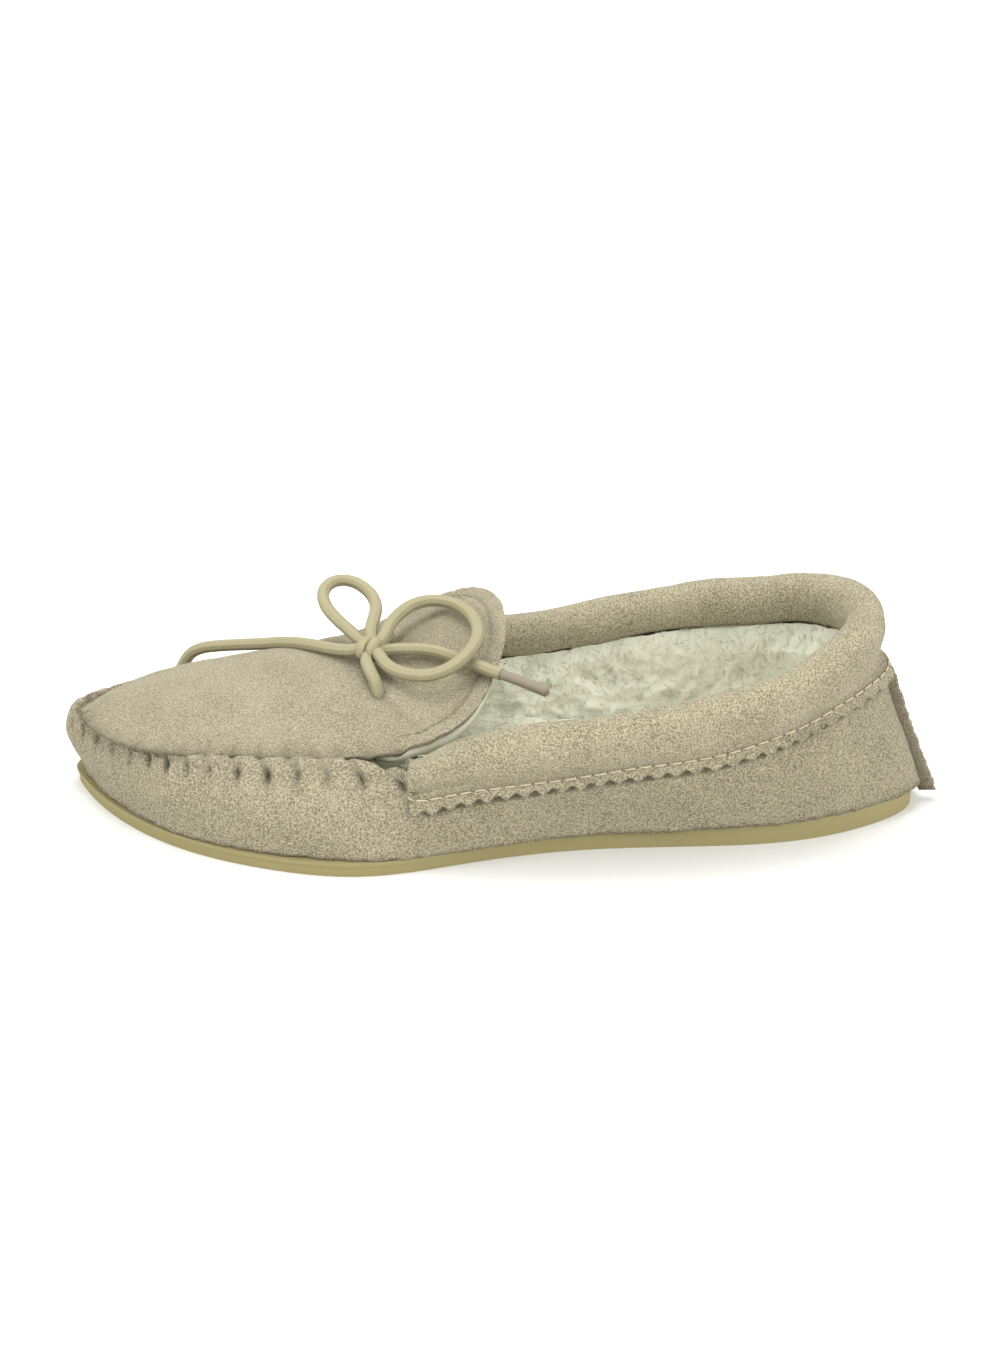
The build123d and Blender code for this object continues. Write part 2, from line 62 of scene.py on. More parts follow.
MM = 0.001
SPINE_REACH = 95 * MM  # half the length of the last's spine, which every outward line starts from
SPINE_Y = -3 * MM
BRAID_PITCH = 1.0 * MM
RIDGE = 2.5 * MM  # radius of the gathered ridge
RIDGE_CLIMB = 1.6 * RIDGE / MM  # millimetres of leather from the wall's top up to the ridge's crown
RIDGE_CROWN = 95  # degrees round the ridge, from its outer foot, where the crown lies
RIDGE_TURNS = np.linspace(12, 222, 15)  # degrees round the ridge of each row of its mesh
APRON_MIDDLE = Vector((-66 * MM, 0, 0))
NEAR_GATHERS_END = -26.5 * MM  # in X, on the outer side
FAR_GATHERS_END = -42 * MM
LACE_HOLES = ((-38.2, -15.3), (-35.8, 12.6))  # in plan, in millimetres
PRESSED_FOLD = ((-37, -17), (-21, -34))  # where the tongue's fold runs down to the seam, in millimetres
STITCH_INSET = 5.0  # millimetres from the tongue's edge to its stitches
CAMERA_PLACE = (0, -0.4574, 0.261)
CAMERA_TILT = 25.6  # degrees that the camera looks down
CAMERA_LENS = 41.6

# Routes of the lace, in metres: the same points as the frame's strands.
KNOT = (-0.041, -0.0018, 0.054)
NEAR_STRAND = [
    (-.0382, -.0153, .0404), (-.0382, -.0151, .0468), (-.041, -.0114, .051), (-.0426, -.0062, .052),
]
FAR_STRAND = [
    (-.0358, .0127, .045), (-.0358, .0126, .0518), (-.0368, .0076, .0538), (-.0386, .0026, .0528),
]
REAR_LOOP = [
    (-.0372, .0006, .0566), (-.0354, .0074, .0586), (-.0324, .015, .0593), (-.028, .0214, .0598),
    (-.0215, .0234, .0602), (-.0144, .0194, .0604), (-.009, .0108, .0602), (-.0066, .0004, .0594),
    (-.0078, -.0094, .0582), (-.013, -.0156, .0548), (-.0203, -.0174, .0518), (-.027, -.0162, .0512),
    (-.0321, -.0135, .0513), (-.0358, -.0106, .0522), (-.0382, -.0062, .0536),
]
FRONT_LOOP = [
    (-.0444, .0018, .0546), (-.0484, .0078, .0556), (-.0532, .0134, .0572), (-.0576, .0196, .0594),
    (-.0592, .026, .062), (-.0558, .0316, .0638), (-.0494, .0324, .0634), (-.0438, .0282, .0614),
    (-.041, .0218, .06), (-.0404, .0148, .0598), (-.0408, .0084, .0596), (-.0416, .0028, .0578),
]
FRONT_END = [
    (-.0462, -.002, .0532), (-.053, .002, .0518), (-.0614, .0094, .0501), (-.0706, .0186, .0469),
    (-.0796, .0266, .0427), (-.0888, .0324, .0398), (-.0974, .036, .0378), (-.1046, .0392, .0354),
    (-.1096, .0412, .0312), (-.1128, .0418, .0245),
]
REAR_END = [
    (-.0362, -.0014, .0531), (-.0326, -.0012, .0534), (-.022, -.002, .0537), (-.0138, -.007, .0531),
    (-.0064, -.012, .0523), (.0004, -.016, .0515),
]


# ---------------------------------------------------------------- settings
def length_property(label, text, value):
    return bpy.props.FloatProperty(name=label, description=text, default=value, unit="LENGTH")


def colour_property(label, text, value):
    return bpy.props.FloatVectorProperty(
        name=label, description=text, subtype="COLOR", size=3, default=value, min=0, max=1)


class MoccasinSizes(bpy.types.PropertyGroup):
    suede: length_property("Suede", "Thickness of the suede", 1.5 * MM)
    lace: length_property("Lace", "Diameter of the braided lace", 3.9 * MM)
    tip: length_property("Tip", "Diameter of the lace's stiff tips", 3.3 * MM)
    tip_length: length_property("Tip length", "Length of a tip", 17 * MM)
    whip_pitch: length_property("Gather pitch", "Distance between the seam's gathers", 8.7 * MM)
    tooth: length_property("Pinking pitch", "Distance between the cuff's pinked teeth", 5.6 * MM)
    cuff_stitch: length_property("Cuff stitch pitch", "Distance between the cuff's stitches", 4.5 * MM)
    tongue_stitch: length_property("Tongue stitch pitch", "Distance between the tongue's stitches", 2.6 * MM)
    wool: length_property("Wool depth", "How far the wool's tufts stand up", 2.2 * MM)
    strand_density: bpy.props.FloatProperty(
        name="Strand density", description="Loose wool strands on each square metre", default=400000.0, min=0)


class MoccasinColours(bpy.types.PropertyGroup):
    suede: colour_property("Suede", "Napped side of the suede", (0.70, 0.628, 0.438))
    suede_dark: colour_property("Suede flecks", "Where the nap lies the other way", (0.25, 0.21, 0.123))
    # Painted shade deep in the pile.
    wool: colour_property("Wool", "Tips of the wool pile", (0.60, 0.60, 0.455))
    wool_shade: colour_property("Wool depth", "Deep in the pile", (0.25, 0.25, 0.15))
    lace: colour_property("Lace", "Yarn of the braid", (0.165, 0.146, 0.083))
    # Painted shade in the gaps between the braid's yarns.
    lace_dark: colour_property("Lace gaps", "Between the braid's yarns", (0.03, 0.025, 0.012))
    tip: colour_property("Tip", "Stiffened end of the lace", (0.13, 0.105, 0.07))
    thread: colour_property("Thread", "Thread of the cuff", (0.60, 0.52, 0.29))
    sole: colour_property("Sole", "Moulded rubber", (0.20, 0.168, 0.078))
    floor: colour_property("Floor", "Studio floor", (0.76, 0.76, 0.74))


def sizes():
    return bpy.context.scene.moccasin_sizes


def colours():
    return bpy.context.scene.moccasin_colours


# ---------------------------------------------------------------- shader groups and materials
def new_group(name, inputs, outputs):
    """A shader node group with named sockets; returns the group and its two end nodes."""
    group = bpy.data.node_groups.new(name, "ShaderNodeTree")
    for label, kind, default in inputs:
        socket = group.interface.new_socket(label, in_out="INPUT", socket_type=kind)
        if default is not None:
            socket.default_value = default
    for label, kind in outputs:
        group.interface.new_socket(label, in_out="OUTPUT", socket_type=kind)
    return group, group.nodes.new("NodeGroupInput"), group.nodes.new("NodeGroupOutput")


def noise_node(net, vector, scale, detail=4.0, roughness=0.6):
    node = net.nodes.new("ShaderNodeTexNoise")
    node.inputs["Scale"].default_value = scale
    node.inputs["Detail"].default_value = detail
    node.inputs["Roughness"].default_value = roughness
    net.links.new(vector, node.inputs["Vector"])
    return node


def stretch(net, value, low, high):
    """Maps low..high to 0..1."""
    node = net.nodes.new("ShaderNodeMapRange")
    node.inputs["From Min"].default_value = low
    node.inputs["From Max"].default_value = high
    net.links.new(value, node.inputs["Value"])
    return node.outputs["Result"]


def mix_colour(net, factor, first, second):
    node = net.nodes.new("ShaderNodeMix")
    node.data_type = "RGBA"
    for label, source in (("Factor", factor), ("A", first), ("B", second)):
        socket = node.inputs[label]
        if isinstance(source, bpy.types.NodeSocket):
            net.links.new(source, socket)
        elif isinstance(source, float):
            socket.default_value = source
        else:
            socket.default_value = (*source, 1)
    return node.outputs["Result"]


def calculate(net, operation, first, second):
    node = net.nodes.new("ShaderNodeMath")
    node.operation = operation
    for socket, source in zip(node.inputs, (first, second)):
        if isinstance(source, bpy.types.NodeSocket):
            net.links.new(source, socket)
        else:
            socket.default_value = source
    return node.outputs["Value"]


def suede_nap_group():
    """Mottled nap: light and dark flecks, larger brushed patches, and the height of the fibres."""
    group, start, end = new_group(
        "suede_nap",
        [("Vector", "NodeSocketVector", None), ("Nap", "NodeSocketColor", None),
         ("Fleck", "NodeSocketColor", None), ("Fleck scale", "NodeSocketFloat", 1.0),
         ("Contrast", "NodeSocketFloat", 1.0)],
        [("Color", "NodeSocketColor"), ("Height", "NodeSocketFloat"), ("Roughness", "NodeSocketFloat")],
    )
    net = group
    scaled = net.nodes.new("ShaderNodeVectorMath")
    scaled.operation = "SCALE"
    net.links.new(start.outputs["Vector"], scaled.inputs[0])
    net.links.new(start.outputs["Fleck scale"], scaled.inputs["Scale"])
    flecks = noise_node(net, scaled.outputs["Vector"], 2050, 2.5, 0.72)
    fine = noise_node(net, scaled.outputs["Vector"], 4200, 2.0, 0.6)
    patches = noise_node(net, start.outputs["Vector"], 60, 3.0, 0.6)
    fleck = stretch(net, flecks.outputs["Fac"], 0.40, 0.60)
    grain = stretch(net, fine.outputs["Fac"], 0.36, 0.62)
    fleck = calculate(net, "ADD", calculate(net, "MULTIPLY", fleck, 0.66),
                      calculate(net, "MULTIPLY", grain, 0.34))
    spread = calculate(net, "SUBTRACT", fleck, 0.5)
    spread = calculate(net, "MULTIPLY", spread, start.outputs["Contrast"])
    brushed = calculate(net, "MULTIPLY", calculate(net, "SUBTRACT", patches.outputs["Fac"], 0.5), 0.7)
    blend = calculate(net, "ADD", calculate(net, "ADD", spread, brushed), 0.6)
    colour = mix_colour(net, blend, start.outputs["Fleck"], start.outputs["Nap"])
    net.links.new(colour, end.inputs["Color"])
    net.links.new(fleck, end.inputs["Height"])
    roughness = calculate(net, "ADD", calculate(net, "MULTIPLY", fleck, -0.08), 0.96)
    net.links.new(roughness, end.inputs["Roughness"])
    return group


def new_material(name):
    material = bpy.data.materials.new(name)
    material.use_nodes = True
    net = material.node_tree
    shader = net.nodes["Principled BSDF"]
    where = net.nodes.new("ShaderNodeTexCoord").outputs["Object"]
    return material, net, shader, where


def add_bump(net, shader, height, distance, strength=1.0):
    bump = net.nodes.new("ShaderNodeBump")
    bump.inputs["Distance"].default_value = distance
    bump.inputs["Strength"].default_value = strength
    net.links.new(height, bump.inputs["Height"])
    net.links.new(bump.outputs["Normal"], shader.inputs["Normal"])


def suede_material(name, group, fleck_scale, contrast, lighter=1.0):
    material, net, shader, where = new_material(name)
    nap = net.nodes.new("ShaderNodeGroup")
    nap.node_tree = group
    net.links.new(where, nap.inputs["Vector"])
    nap.inputs["Nap"].default_value = (*[min(1, c * lighter) for c in colours().suede], 1)
    nap.inputs["Fleck"].default_value = (*[min(1, c * lighter) for c in colours().suede_dark], 1)
    nap.inputs["Fleck scale"].default_value = fleck_scale
    nap.inputs["Contrast"].default_value = contrast
    # Painted shade: the 'crease' attribute darkens the suede towards this dark brown in folds, pits, grooves
    # and under the cuff.
    darkening = net.nodes.new("ShaderNodeAttribute")
    darkening.attribute_name = "crease"
    dark = mix_colour(net, darkening.outputs["Fac"], nap.outputs["Color"], (0.075, 0.06, 0.034))
    net.links.new(dark, shader.inputs["Base Color"])
    net.links.new(nap.outputs["Roughness"], shader.inputs["Roughness"])
    shader.inputs["Specular IOR Level"].default_value = 0.12
    shader.inputs["Sheen Weight"].default_value = 0.18
    shader.inputs["Sheen Roughness"].default_value = 0.5
    shader.inputs["Sheen Tint"].default_value = (0.93, 0.88, 0.74, 1)
    add_bump(net, shader, nap.outputs["Height"], 0.8 * MM, 1.0)
    return material


def wool_material():
    material, net, shader, where = new_material("wool_pile")
    clumps = noise_node(net, where, 95, 4.0, 0.6)
    curls = noise_node(net, where, 620, 3.0, 0.65)
    curls.inputs["Distortion"].default_value = 1.6
    level = calculate(net, "ADD", stretch(net, clumps.outputs["Fac"], 0.32, 0.62),
                      calculate(net, "MULTIPLY", curls.outputs["Fac"], 0.5))
    level = calculate(net, "SUBTRACT", level, 0.15)
    # Painted shade: the pile darkens towards its deep colour where the clump and curl noise is low.
    net.links.new(mix_colour(net, level, colours().wool_shade, colours().wool), shader.inputs["Base Color"])
    shader.inputs["Roughness"].default_value = 0.95
    shader.inputs["Specular IOR Level"].default_value = 0.1
    shader.inputs["Sheen Weight"].default_value = 0.5
    shader.inputs["Sheen Roughness"].default_value = 0.5
    shader.inputs["Subsurface Weight"].default_value = 0.15
    shader.inputs["Subsurface Radius"].default_value = (0.004, 0.004, 0.003)
    add_bump(net, shader, curls.outputs["Fac"], 0.9 * MM, 0.8)
    return material


def strand_material():
    material, net, shader, where = new_material("wool_strand")
    drift = noise_node(net, where, 150, 2.0)
    pale = mix_colour(net, drift.outputs["Fac"], colours().wool, (0.88, 0.88, 0.78))
    net.links.new(pale, shader.inputs["Base Color"])
    shader.inputs["Roughness"].default_value = 0.9
    shader.inputs["Specular IOR Level"].default_value = 0.15
    return material


def braid_material():
    """Crossing yarns, drawn from the cord's own UV: once round in U, metres along in V."""
    material, net, shader, where = new_material("lace_braid")
    split = net.nodes.new("ShaderNodeSeparateXYZ")
    net.links.new(net.nodes.new("ShaderNodeUVMap").outputs["UV"], split.inputs["Vector"])
    fold = calculate(net, "PINGPONG", calculate(net, "MULTIPLY", split.outputs["X"], 8.0), 1.0)
    along = calculate(net, "DIVIDE", split.outputs["Y"], BRAID_PITCH)
    slant = calculate(net, "ADD", along, calculate(net, "MULTIPLY", fold, 0.75))
    wave = calculate(net, "SINE", calculate(net, "MULTIPLY", slant, 2 * math.pi), 0.0)
    between = calculate(net, "ABSOLUTE", calculate(net, "SUBTRACT", fold, 0.5), 0.0)
    column = stretch(net, between, 0.5, 0.36)
    level = calculate(net, "MULTIPLY", stretch(net, wave, -0.75, 0.55), column)
    grime = noise_node(net, where, 260, 3.0)
    # Painted shade between the yarns: the braid's gaps and column seams go towards the lace's dark colour,
    # and random grime darkens it further in patches.
    shade = calculate(net, "MULTIPLY", level, stretch(net, grime.outputs["Fac"], 0.0, 0.5))
    net.links.new(mix_colour(net, shade, colours().lace_dark, colours().lace), shader.inputs["Base Color"])
    shader.inputs["Roughness"].default_value = 0.75
    shader.inputs["Sheen Weight"].default_value = 0.15
    add_bump(net, shader, level, 0.22 * MM, 1.0)
    return material


def plain_material(name, colour, roughness, grain_scale, grain):
    """A material whose colour drifts a little over fine grain."""
    material, net, shader, where = new_material(name)
    texture = noise_node(net, where, grain_scale, 4.0, 0.65)
    darker = tuple(c * (1 - grain) for c in colour)
    net.links.new(mix_colour(net, texture.outputs["Fac"], darker, tuple(colour)), shader.inputs["Base Color"])
    uneven = stretch(net, texture.outputs["Fac"], -1.5 + roughness, 1 + roughness)
    net.links.new(uneven, shader.inputs["Roughness"])
    add_bump(net, shader, texture.outputs["Fac"], 0.05 * MM, 0.6)
    return material


def sole_material():
    """Moulded rubber with an ochre lip along its top edge, darker in blotches near the ground."""
    material, net, shader, where = new_material("sole_rubber")
    split = net.nodes.new("ShaderNodeSeparateXYZ")
    net.links.new(where, split.inputs["Vector"])
    grain = noise_node(net, where, 600, 4.0, 0.6)
    blotches = noise_node(net, where, 70, 5.0, 0.7)
    colour = tuple(colours().sole)
    body = mix_colour(net, grain.outputs["Fac"], tuple(c * 0.85 for c in colour), colour)
    # Darker in blotches within 3 mm of the ground.
    low = stretch(net, split.outputs["Z"], 3.0 * MM, 0.0)
    darkening = calculate(net, "MULTIPLY", low, stretch(net, blotches.outputs["Fac"], 0.45, 0.7))
    body = mix_colour(net, calculate(net, "MULTIPLY", darkening, 0.4), body, tuple(c * 0.6 for c in colour))
    lip = stretch(net, split.outputs["Z"], 6.3 * MM, 6.9 * MM)
    net.links.new(mix_colour(net, lip, body, (0.26, 0.19, 0.035)), shader.inputs["Base Color"])
    net.links.new(stretch(net, blotches.outputs["Fac"], -0.4, 1.3), shader.inputs["Roughness"])
    shader.inputs["Specular IOR Level"].default_value = 0.4
    add_bump(net, shader, grain.outputs["Fac"], 0.04 * MM, 0.6)
    return material


def floor_material():
    """Plain pale floor, lit up far from the shoe as a studio's is."""
    material, net, shader, where = new_material("floor")
    drift = noise_node(net, where, 3, 2.0)
    colour = tuple(colours().floor)
    net.links.new(mix_colour(net, drift.outputs["Fac"], tuple(c * 0.985 for c in colour), colour),
              shader.inputs["Base Color"])
    shader.inputs["Roughness"].default_value = 0.9
    shader.inputs["Specular IOR Level"].default_value = 0.1
    far = net.nodes.new("ShaderNodeVectorMath")
    far.operation = "LENGTH"
    net.links.new(where, far.inputs[0])
    shader.inputs["Emission Color"].default_value = (1, 1, 1, 1)
    glow = calculate(net, "MULTIPLY", stretch(net, far.outputs["Value"], 0.3, 1.2), 0.75)
    net.links.new(glow, shader.inputs["Emission Strength"])
    return material


def build_materials():
    nap = suede_nap_group()
    # suede_upper, for the wrap and the heel seam, is a copy of the suede 8% darker than the apron's and
    # cuff's: painted shade.
    suede_material("suede_upper", nap, 0.85, 1.8, 0.92)
    suede_material("suede_apron", nap, 1.1, 1.4, 1.0)
    suede_material("suede_cuff", nap, 0.9, 1.7, 1.0)
    wool_material()
    strand_material()
    braid_material()
    plain_material("lace_tip", colours().tip, 0.45, 1400, 0.45)
    plain_material("thread", colours().thread, 0.7, 2500, 0.3)
    plain_material("thread_dark", tuple(c * 0.45 for c in colours().suede), 0.8, 2500, 0.3)
    # Painted shade: near-black for the stitch holes.
    plain_material("stitch_hole_shade", (0.035, 0.028, 0.016), 0.95, 900, 0.3)
    sole_material()
    floor_material()


def material(name):
    return bpy.data.materials[name]


# ---------------------------------------------------------------- mesh helpers
def tree_of(*names):
    """A tree for shooting lines at these nodes of the frame."""
    corners, faces = [], []
    for name in names:
        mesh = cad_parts[name].data
        base = len(corners)
        corners += [v.co.copy() for v in mesh.vertices]
        faces += [[base + i for i in face.vertices] for face in mesh.polygons]
    return BVHTree.FromPolygons(corners, faces)


def heading(angle):
    """Start and direction, in plan, of the outward line at an angle round the last."""
    return Vector((SPINE_REACH * math.cos(angle), SPINE_Y, 0)), Vector((math.cos(angle), math.sin(angle), 0))


def from_outside(tree, angle, height):
    """Where a level line from outside first meets the tree, or None."""
    start, way = heading(angle)
    far = start + way * 0.15 + Vector((0, 0, height))
    return tree.ray_cast(far, -way, 0.15)[0]


def from_inside(tree, angle, height):
    start, way = heading(angle)
    return tree.ray_cast(start + Vector((0, 0, height)), way, 0.15)[0]


def distances(points):
    """Distance along a line of points, from its first point to each."""
    return np.concatenate(([0], np.cumsum(np.linalg.norm(np.diff(points, axis=0), axis=1))))


def even_angles(tree, height, spacing):
    """Angles, once round the last, whose points on the tree at one height are evenly spaced."""
    fine = np.linspace(math.pi, 3 * math.pi, 900)
    points = np.array([from_outside(tree, a, height) or (np.nan,) * 3 for a in fine])
    known = ~np.isnan(points[:, 0])
    run = distances(points[known])
    places = np.linspace(0, run[-1], int(run[-1] / spacing) + 1)
    return np.interp(places, run, fine[known])[:-1]


def edge_height(tree, angle, low, high, step=0.4 * MM):
    """Height of the tree's top edge on one outward line."""
    for height in np.arange(high, low, -step):
        if from_outside(tree, angle, height):
            return height
    return low


def softened(values, passes, closed=False):
    """Evens out a row of values or points along its length."""
    values = np.array(values, float)
    for _ in range(passes):
        if closed:
            values = (np.roll(values, 1, 0) + 2 * values + np.roll(values, -1, 0)) / 4
        else:
            inner = (values[:-2] + 2 * values[1:-1] + values[2:]) / 4
            values = np.concatenate((values[:1], inner, values[-1:]))
    return values


def contour(tree, angles, heights, reach):
    """A closed line round the tree at each angle's height, with places that have no wall filled in."""
    hits = [reach(tree, angle, height) for angle, height in zip(angles, heights)]
    line = np.array([tuple(hit) if hit else (np.nan,) * 3 for hit in hits])
    for axis in range(3):
        bad = np.isnan(line[:, axis])
        line[bad, axis] = np.interp(np.flatnonzero(bad), np.flatnonzero(~bad), line[~bad, axis])
    line[:, 2] = heights
    return softened(line, 2, True)


def smooth_step(x, low, high):
    t = np.clip((np.asarray(x, float) - low) / (high - low), 0, 1)
    return t * t * (3 - 2 * t)


def field(points, size, seed=0.0):
    """Smooth noise, about -1 to 1, with features of that size, at each point."""
    flat = np.asarray(points, float).reshape(-1, 3) / size + seed
    values = np.fromiter((noise.noise(p) for p in map(Vector, flat)), float, len(flat))
    return values.reshape(np.shape(points)[:-1]) * 1.6


def normals_of(grid, closed):
    """Unit normals of a grid of points, rows by columns."""
    if closed:
        across = np.roll(grid, -1, 1) - np.roll(grid, 1, 1)
    else:
        across = np.gradient(grid, axis=1)
    up = np.gradient(grid, axis=0)
    normal = np.cross(across, up)
    return normal / np.maximum(np.linalg.norm(normal, axis=2, keepdims=True), 1e-12)


def mesh_piece(name, corners, faces, stuff, uv=None):
    """A new object from corners and faces, shaded smooth."""
    mesh = bpy.data.meshes.new(name)
    mesh.from_pydata([tuple(c) for c in corners], [], [tuple(f) for f in faces])
    mesh.validate()
    for face in mesh.polygons:
        face.use_smooth = True
    if uv is not None:
        layer = mesh.uv_layers.new(name="UVMap")
        for loop, (u, v) in zip(layer.data, uv):
            loop.uv = (u, v)
    mesh.materials.append(material(stuff))
    piece = bpy.data.objects.new(name, mesh)
    bpy.context.scene.collection.objects.link(piece)
    return piece


def grid_faces(rows, columns, closed, first=0):
    """Quads of a grid whose corners are stored row by row."""
    faces = []
    for row in range(rows - 1):
        for column in range(columns if closed else columns - 1):
            after = (column + 1) % columns
            base, above = first + row * columns, first + (row + 1) * columns
            faces.append((base + column, base + after, above + after, above + column))
    return faces


def grid_piece(name, grid, stuff, closed, crease=None):
    """A mesh over a grid of points; crease says how much painted shade each point of it gets."""
    rows, columns = grid.shape[:2]
    piece = mesh_piece(name, grid.reshape(-1, 3), grid_faces(rows, columns, closed), stuff)
    if crease is not None:
        paint_shade(piece, crease)
    return piece


def paint_shade(piece, crease):
    # Stores painted shade, 0 to 1, in the 'crease' attribute that the suede materials darken by.
    layer = piece.data.attributes.new("crease", "FLOAT", "POINT")
    layer.data.foreach_set("value", np.clip(crease, 0, 1).astype(np.float32).ravel())


def apply_modifiers(piece):
    """Turns what the piece's modifiers make into its plain mesh."""
    seen = piece.evaluated_get(bpy.context.evaluated_depsgraph_get())
    made = bpy.data.meshes.new_from_object(seen)
    piece.modifiers.clear()
    piece.data = made
    return piece


def thicken(piece, thickness):
    """Gives a sheet its thickness, behind the faces it has."""
    solid = piece.modifiers.new("thickness", "SOLIDIFY")
    solid.thickness = thickness
    solid.offset = -1
    solid.use_even_offset = False
    return apply_modifiers(piece)


def braid_relief(turn, run):
    """Height of the braid, 0 to 1: slanting yarns in eight columns that mirror each other."""
    fold = abs((turn * 8 + 1) % 2 - 1)
    wave = math.sin(2 * math.pi * (run / BRAID_PITCH + 0.75 * fold))
    return min(1, max(0, (wave + 0.85) / 1.1)) * min(1, (0.5 - abs(fold - 0.5)) / 0.14)


def tube(name, line, radius, stuff, sides=16, relief=0.0, taper=0):
    """A round tube along a line of points, closed at both ends; the relief is the braid's."""
    line = np.asarray(line, float)
    ways = np.gradient(line, axis=0)
    ways /= np.linalg.norm(ways, axis=1, keepdims=True)
    run = distances(line)
    side = np.cross(ways[0], (0.0, 0.3, 1.0))
    corners, uv_of = [], []
    for index, (point, way) in enumerate(zip(line, ways)):
        side = side - way * side.dot(way)
        side /= np.linalg.norm(side)
        third = np.cross(way, side)
        end_distance = min(run[index], run[-1] - run[index])
        closing = math.sqrt(max(0.0, 1 - (1 - min(1, end_distance / taper)) ** 2)) if taper else 1.0
        for k in range(sides):
            turn = 2 * math.pi * k / sides
            raised = relief * (braid_relief(k / sides, run[index]) - 0.6) if relief else 0.0
            reach = (radius + raised) * max(0.25, closing)
            corners.append(point + reach * (math.cos(turn) * side + math.sin(turn) * third))
            uv_of.append((k / sides, run[index]))
    count = len(line)
    faces = grid_faces(count, sides, True)
    corners += [line[0], line[-1]]
    uv_of += [(0, 0), (0, run[-1])]
    last = (count - 1) * sides
    faces += [(count * sides, (k + 1) % sides, k) for k in range(sides)]
    faces += [(count * sides + 1, last + k, last + (k + 1) % sides) for k in range(sides)]
    uv = []
    for face in faces:
        wraps = any(c % sides == sides - 1 for c in face) and any(c % sides == 0 for c in face)
        for corner in face:
            u, v = uv_of[corner]
            uv.append((1.0 if wraps and corner % sides == 0 and corner < count * sides else u, v))
    return mesh_piece(name, corners, faces, stuff, uv)


# ---------------------------------------------------------------- geometry node trees
def node_tree(name, inputs):
    tree = bpy.data.node_groups.new(name, "GeometryNodeTree")
    tree.interface.new_socket("Geometry", in_out="INPUT", socket_type="NodeSocketGeometry")
    for label, kind in inputs:
        tree.interface.new_socket(label, in_out="INPUT", socket_type=kind)
    tree.interface.new_socket("Geometry", in_out="OUTPUT", socket_type="NodeSocketGeometry")
    return tree, tree.nodes.new("NodeGroupInput"), tree.nodes.new("NodeGroupOutput")


def realised(tree, instances, start, end):
    """Ends a tree in Realize Instances and Set Material."""
    real = tree.nodes.new("GeometryNodeRealizeInstances")
    paint = tree.nodes.new("GeometryNodeSetMaterial")
    tree.links.new(instances, real.inputs["Geometry"])
    tree.links.new(real.outputs["Geometry"], paint.inputs["Geometry"])
    tree.links.new(start.outputs["Material"], paint.inputs["Material"])
    tree.links.new(paint.outputs["Geometry"], end.inputs["Geometry"])


def stitch_row_tree():
    """One stitch at every pitch along a line, X along the line and Z along its 'up' attribute."""
    tree, start, end = node_tree("stitch_row", [
        ("Pitch", "NodeSocketFloat"), ("Stitch", "NodeSocketObject"), ("Material", "NodeSocketMaterial"),
        ("Jitter", "NodeSocketFloat")])
    nodes, links = tree.nodes, tree.links
    line = nodes.new("GeometryNodeMeshToCurve")
    links.new(start.outputs["Geometry"], line.inputs["Mesh"])
    spots = nodes.new("GeometryNodeResampleCurve")
    spots.mode = "LENGTH"
    links.new(line.outputs["Curve"], spots.inputs["Curve"])
    links.new(start.outputs["Pitch"], spots.inputs["Length"])
    up = nodes.new("GeometryNodeInputNamedAttribute")
    up.data_type = "FLOAT_VECTOR"
    up.inputs["Name"].default_value = "up"
    turn = nodes.new("FunctionNodeAxesToRotation")
    turn.primary_axis = "X"
    turn.secondary_axis = "Z"
    links.new(nodes.new("GeometryNodeInputTangent").outputs["Tangent"], turn.inputs["Primary Axis"])
    links.new(up.outputs["Attribute"], turn.inputs["Secondary Axis"])
    shape = nodes.new("GeometryNodeObjectInfo")
    links.new(start.outputs["Stitch"], shape.inputs["Object"])
    scatter = nodes.new("FunctionNodeRandomValue")
    scatter.data_type = "FLOAT_VECTOR"
    scatter.inputs["Seed"].default_value = 11
    spread = nodes.new("ShaderNodeVectorMath")
    spread.operation = "SCALE"
    links.new(scatter.outputs["Value"], spread.inputs[0])
    links.new(start.outputs["Jitter"], spread.inputs["Scale"])
    grow = nodes.new("ShaderNodeVectorMath")
    grow.operation = "ADD"
    grow.inputs[1].default_value = (1, 1, 1)
    links.new(spread.outputs["Vector"], grow.inputs[0])
    place = nodes.new("GeometryNodeInstanceOnPoints")
    links.new(spots.outputs["Curve"], place.inputs["Points"])
    links.new(shape.outputs["Geometry"], place.inputs["Instance"])
    links.new(turn.outputs["Rotation"], place.inputs["Rotation"])
    links.new(grow.outputs["Vector"], place.inputs["Scale"])
    realised(tree, place.outputs["Instances"], start, end)
    return tree


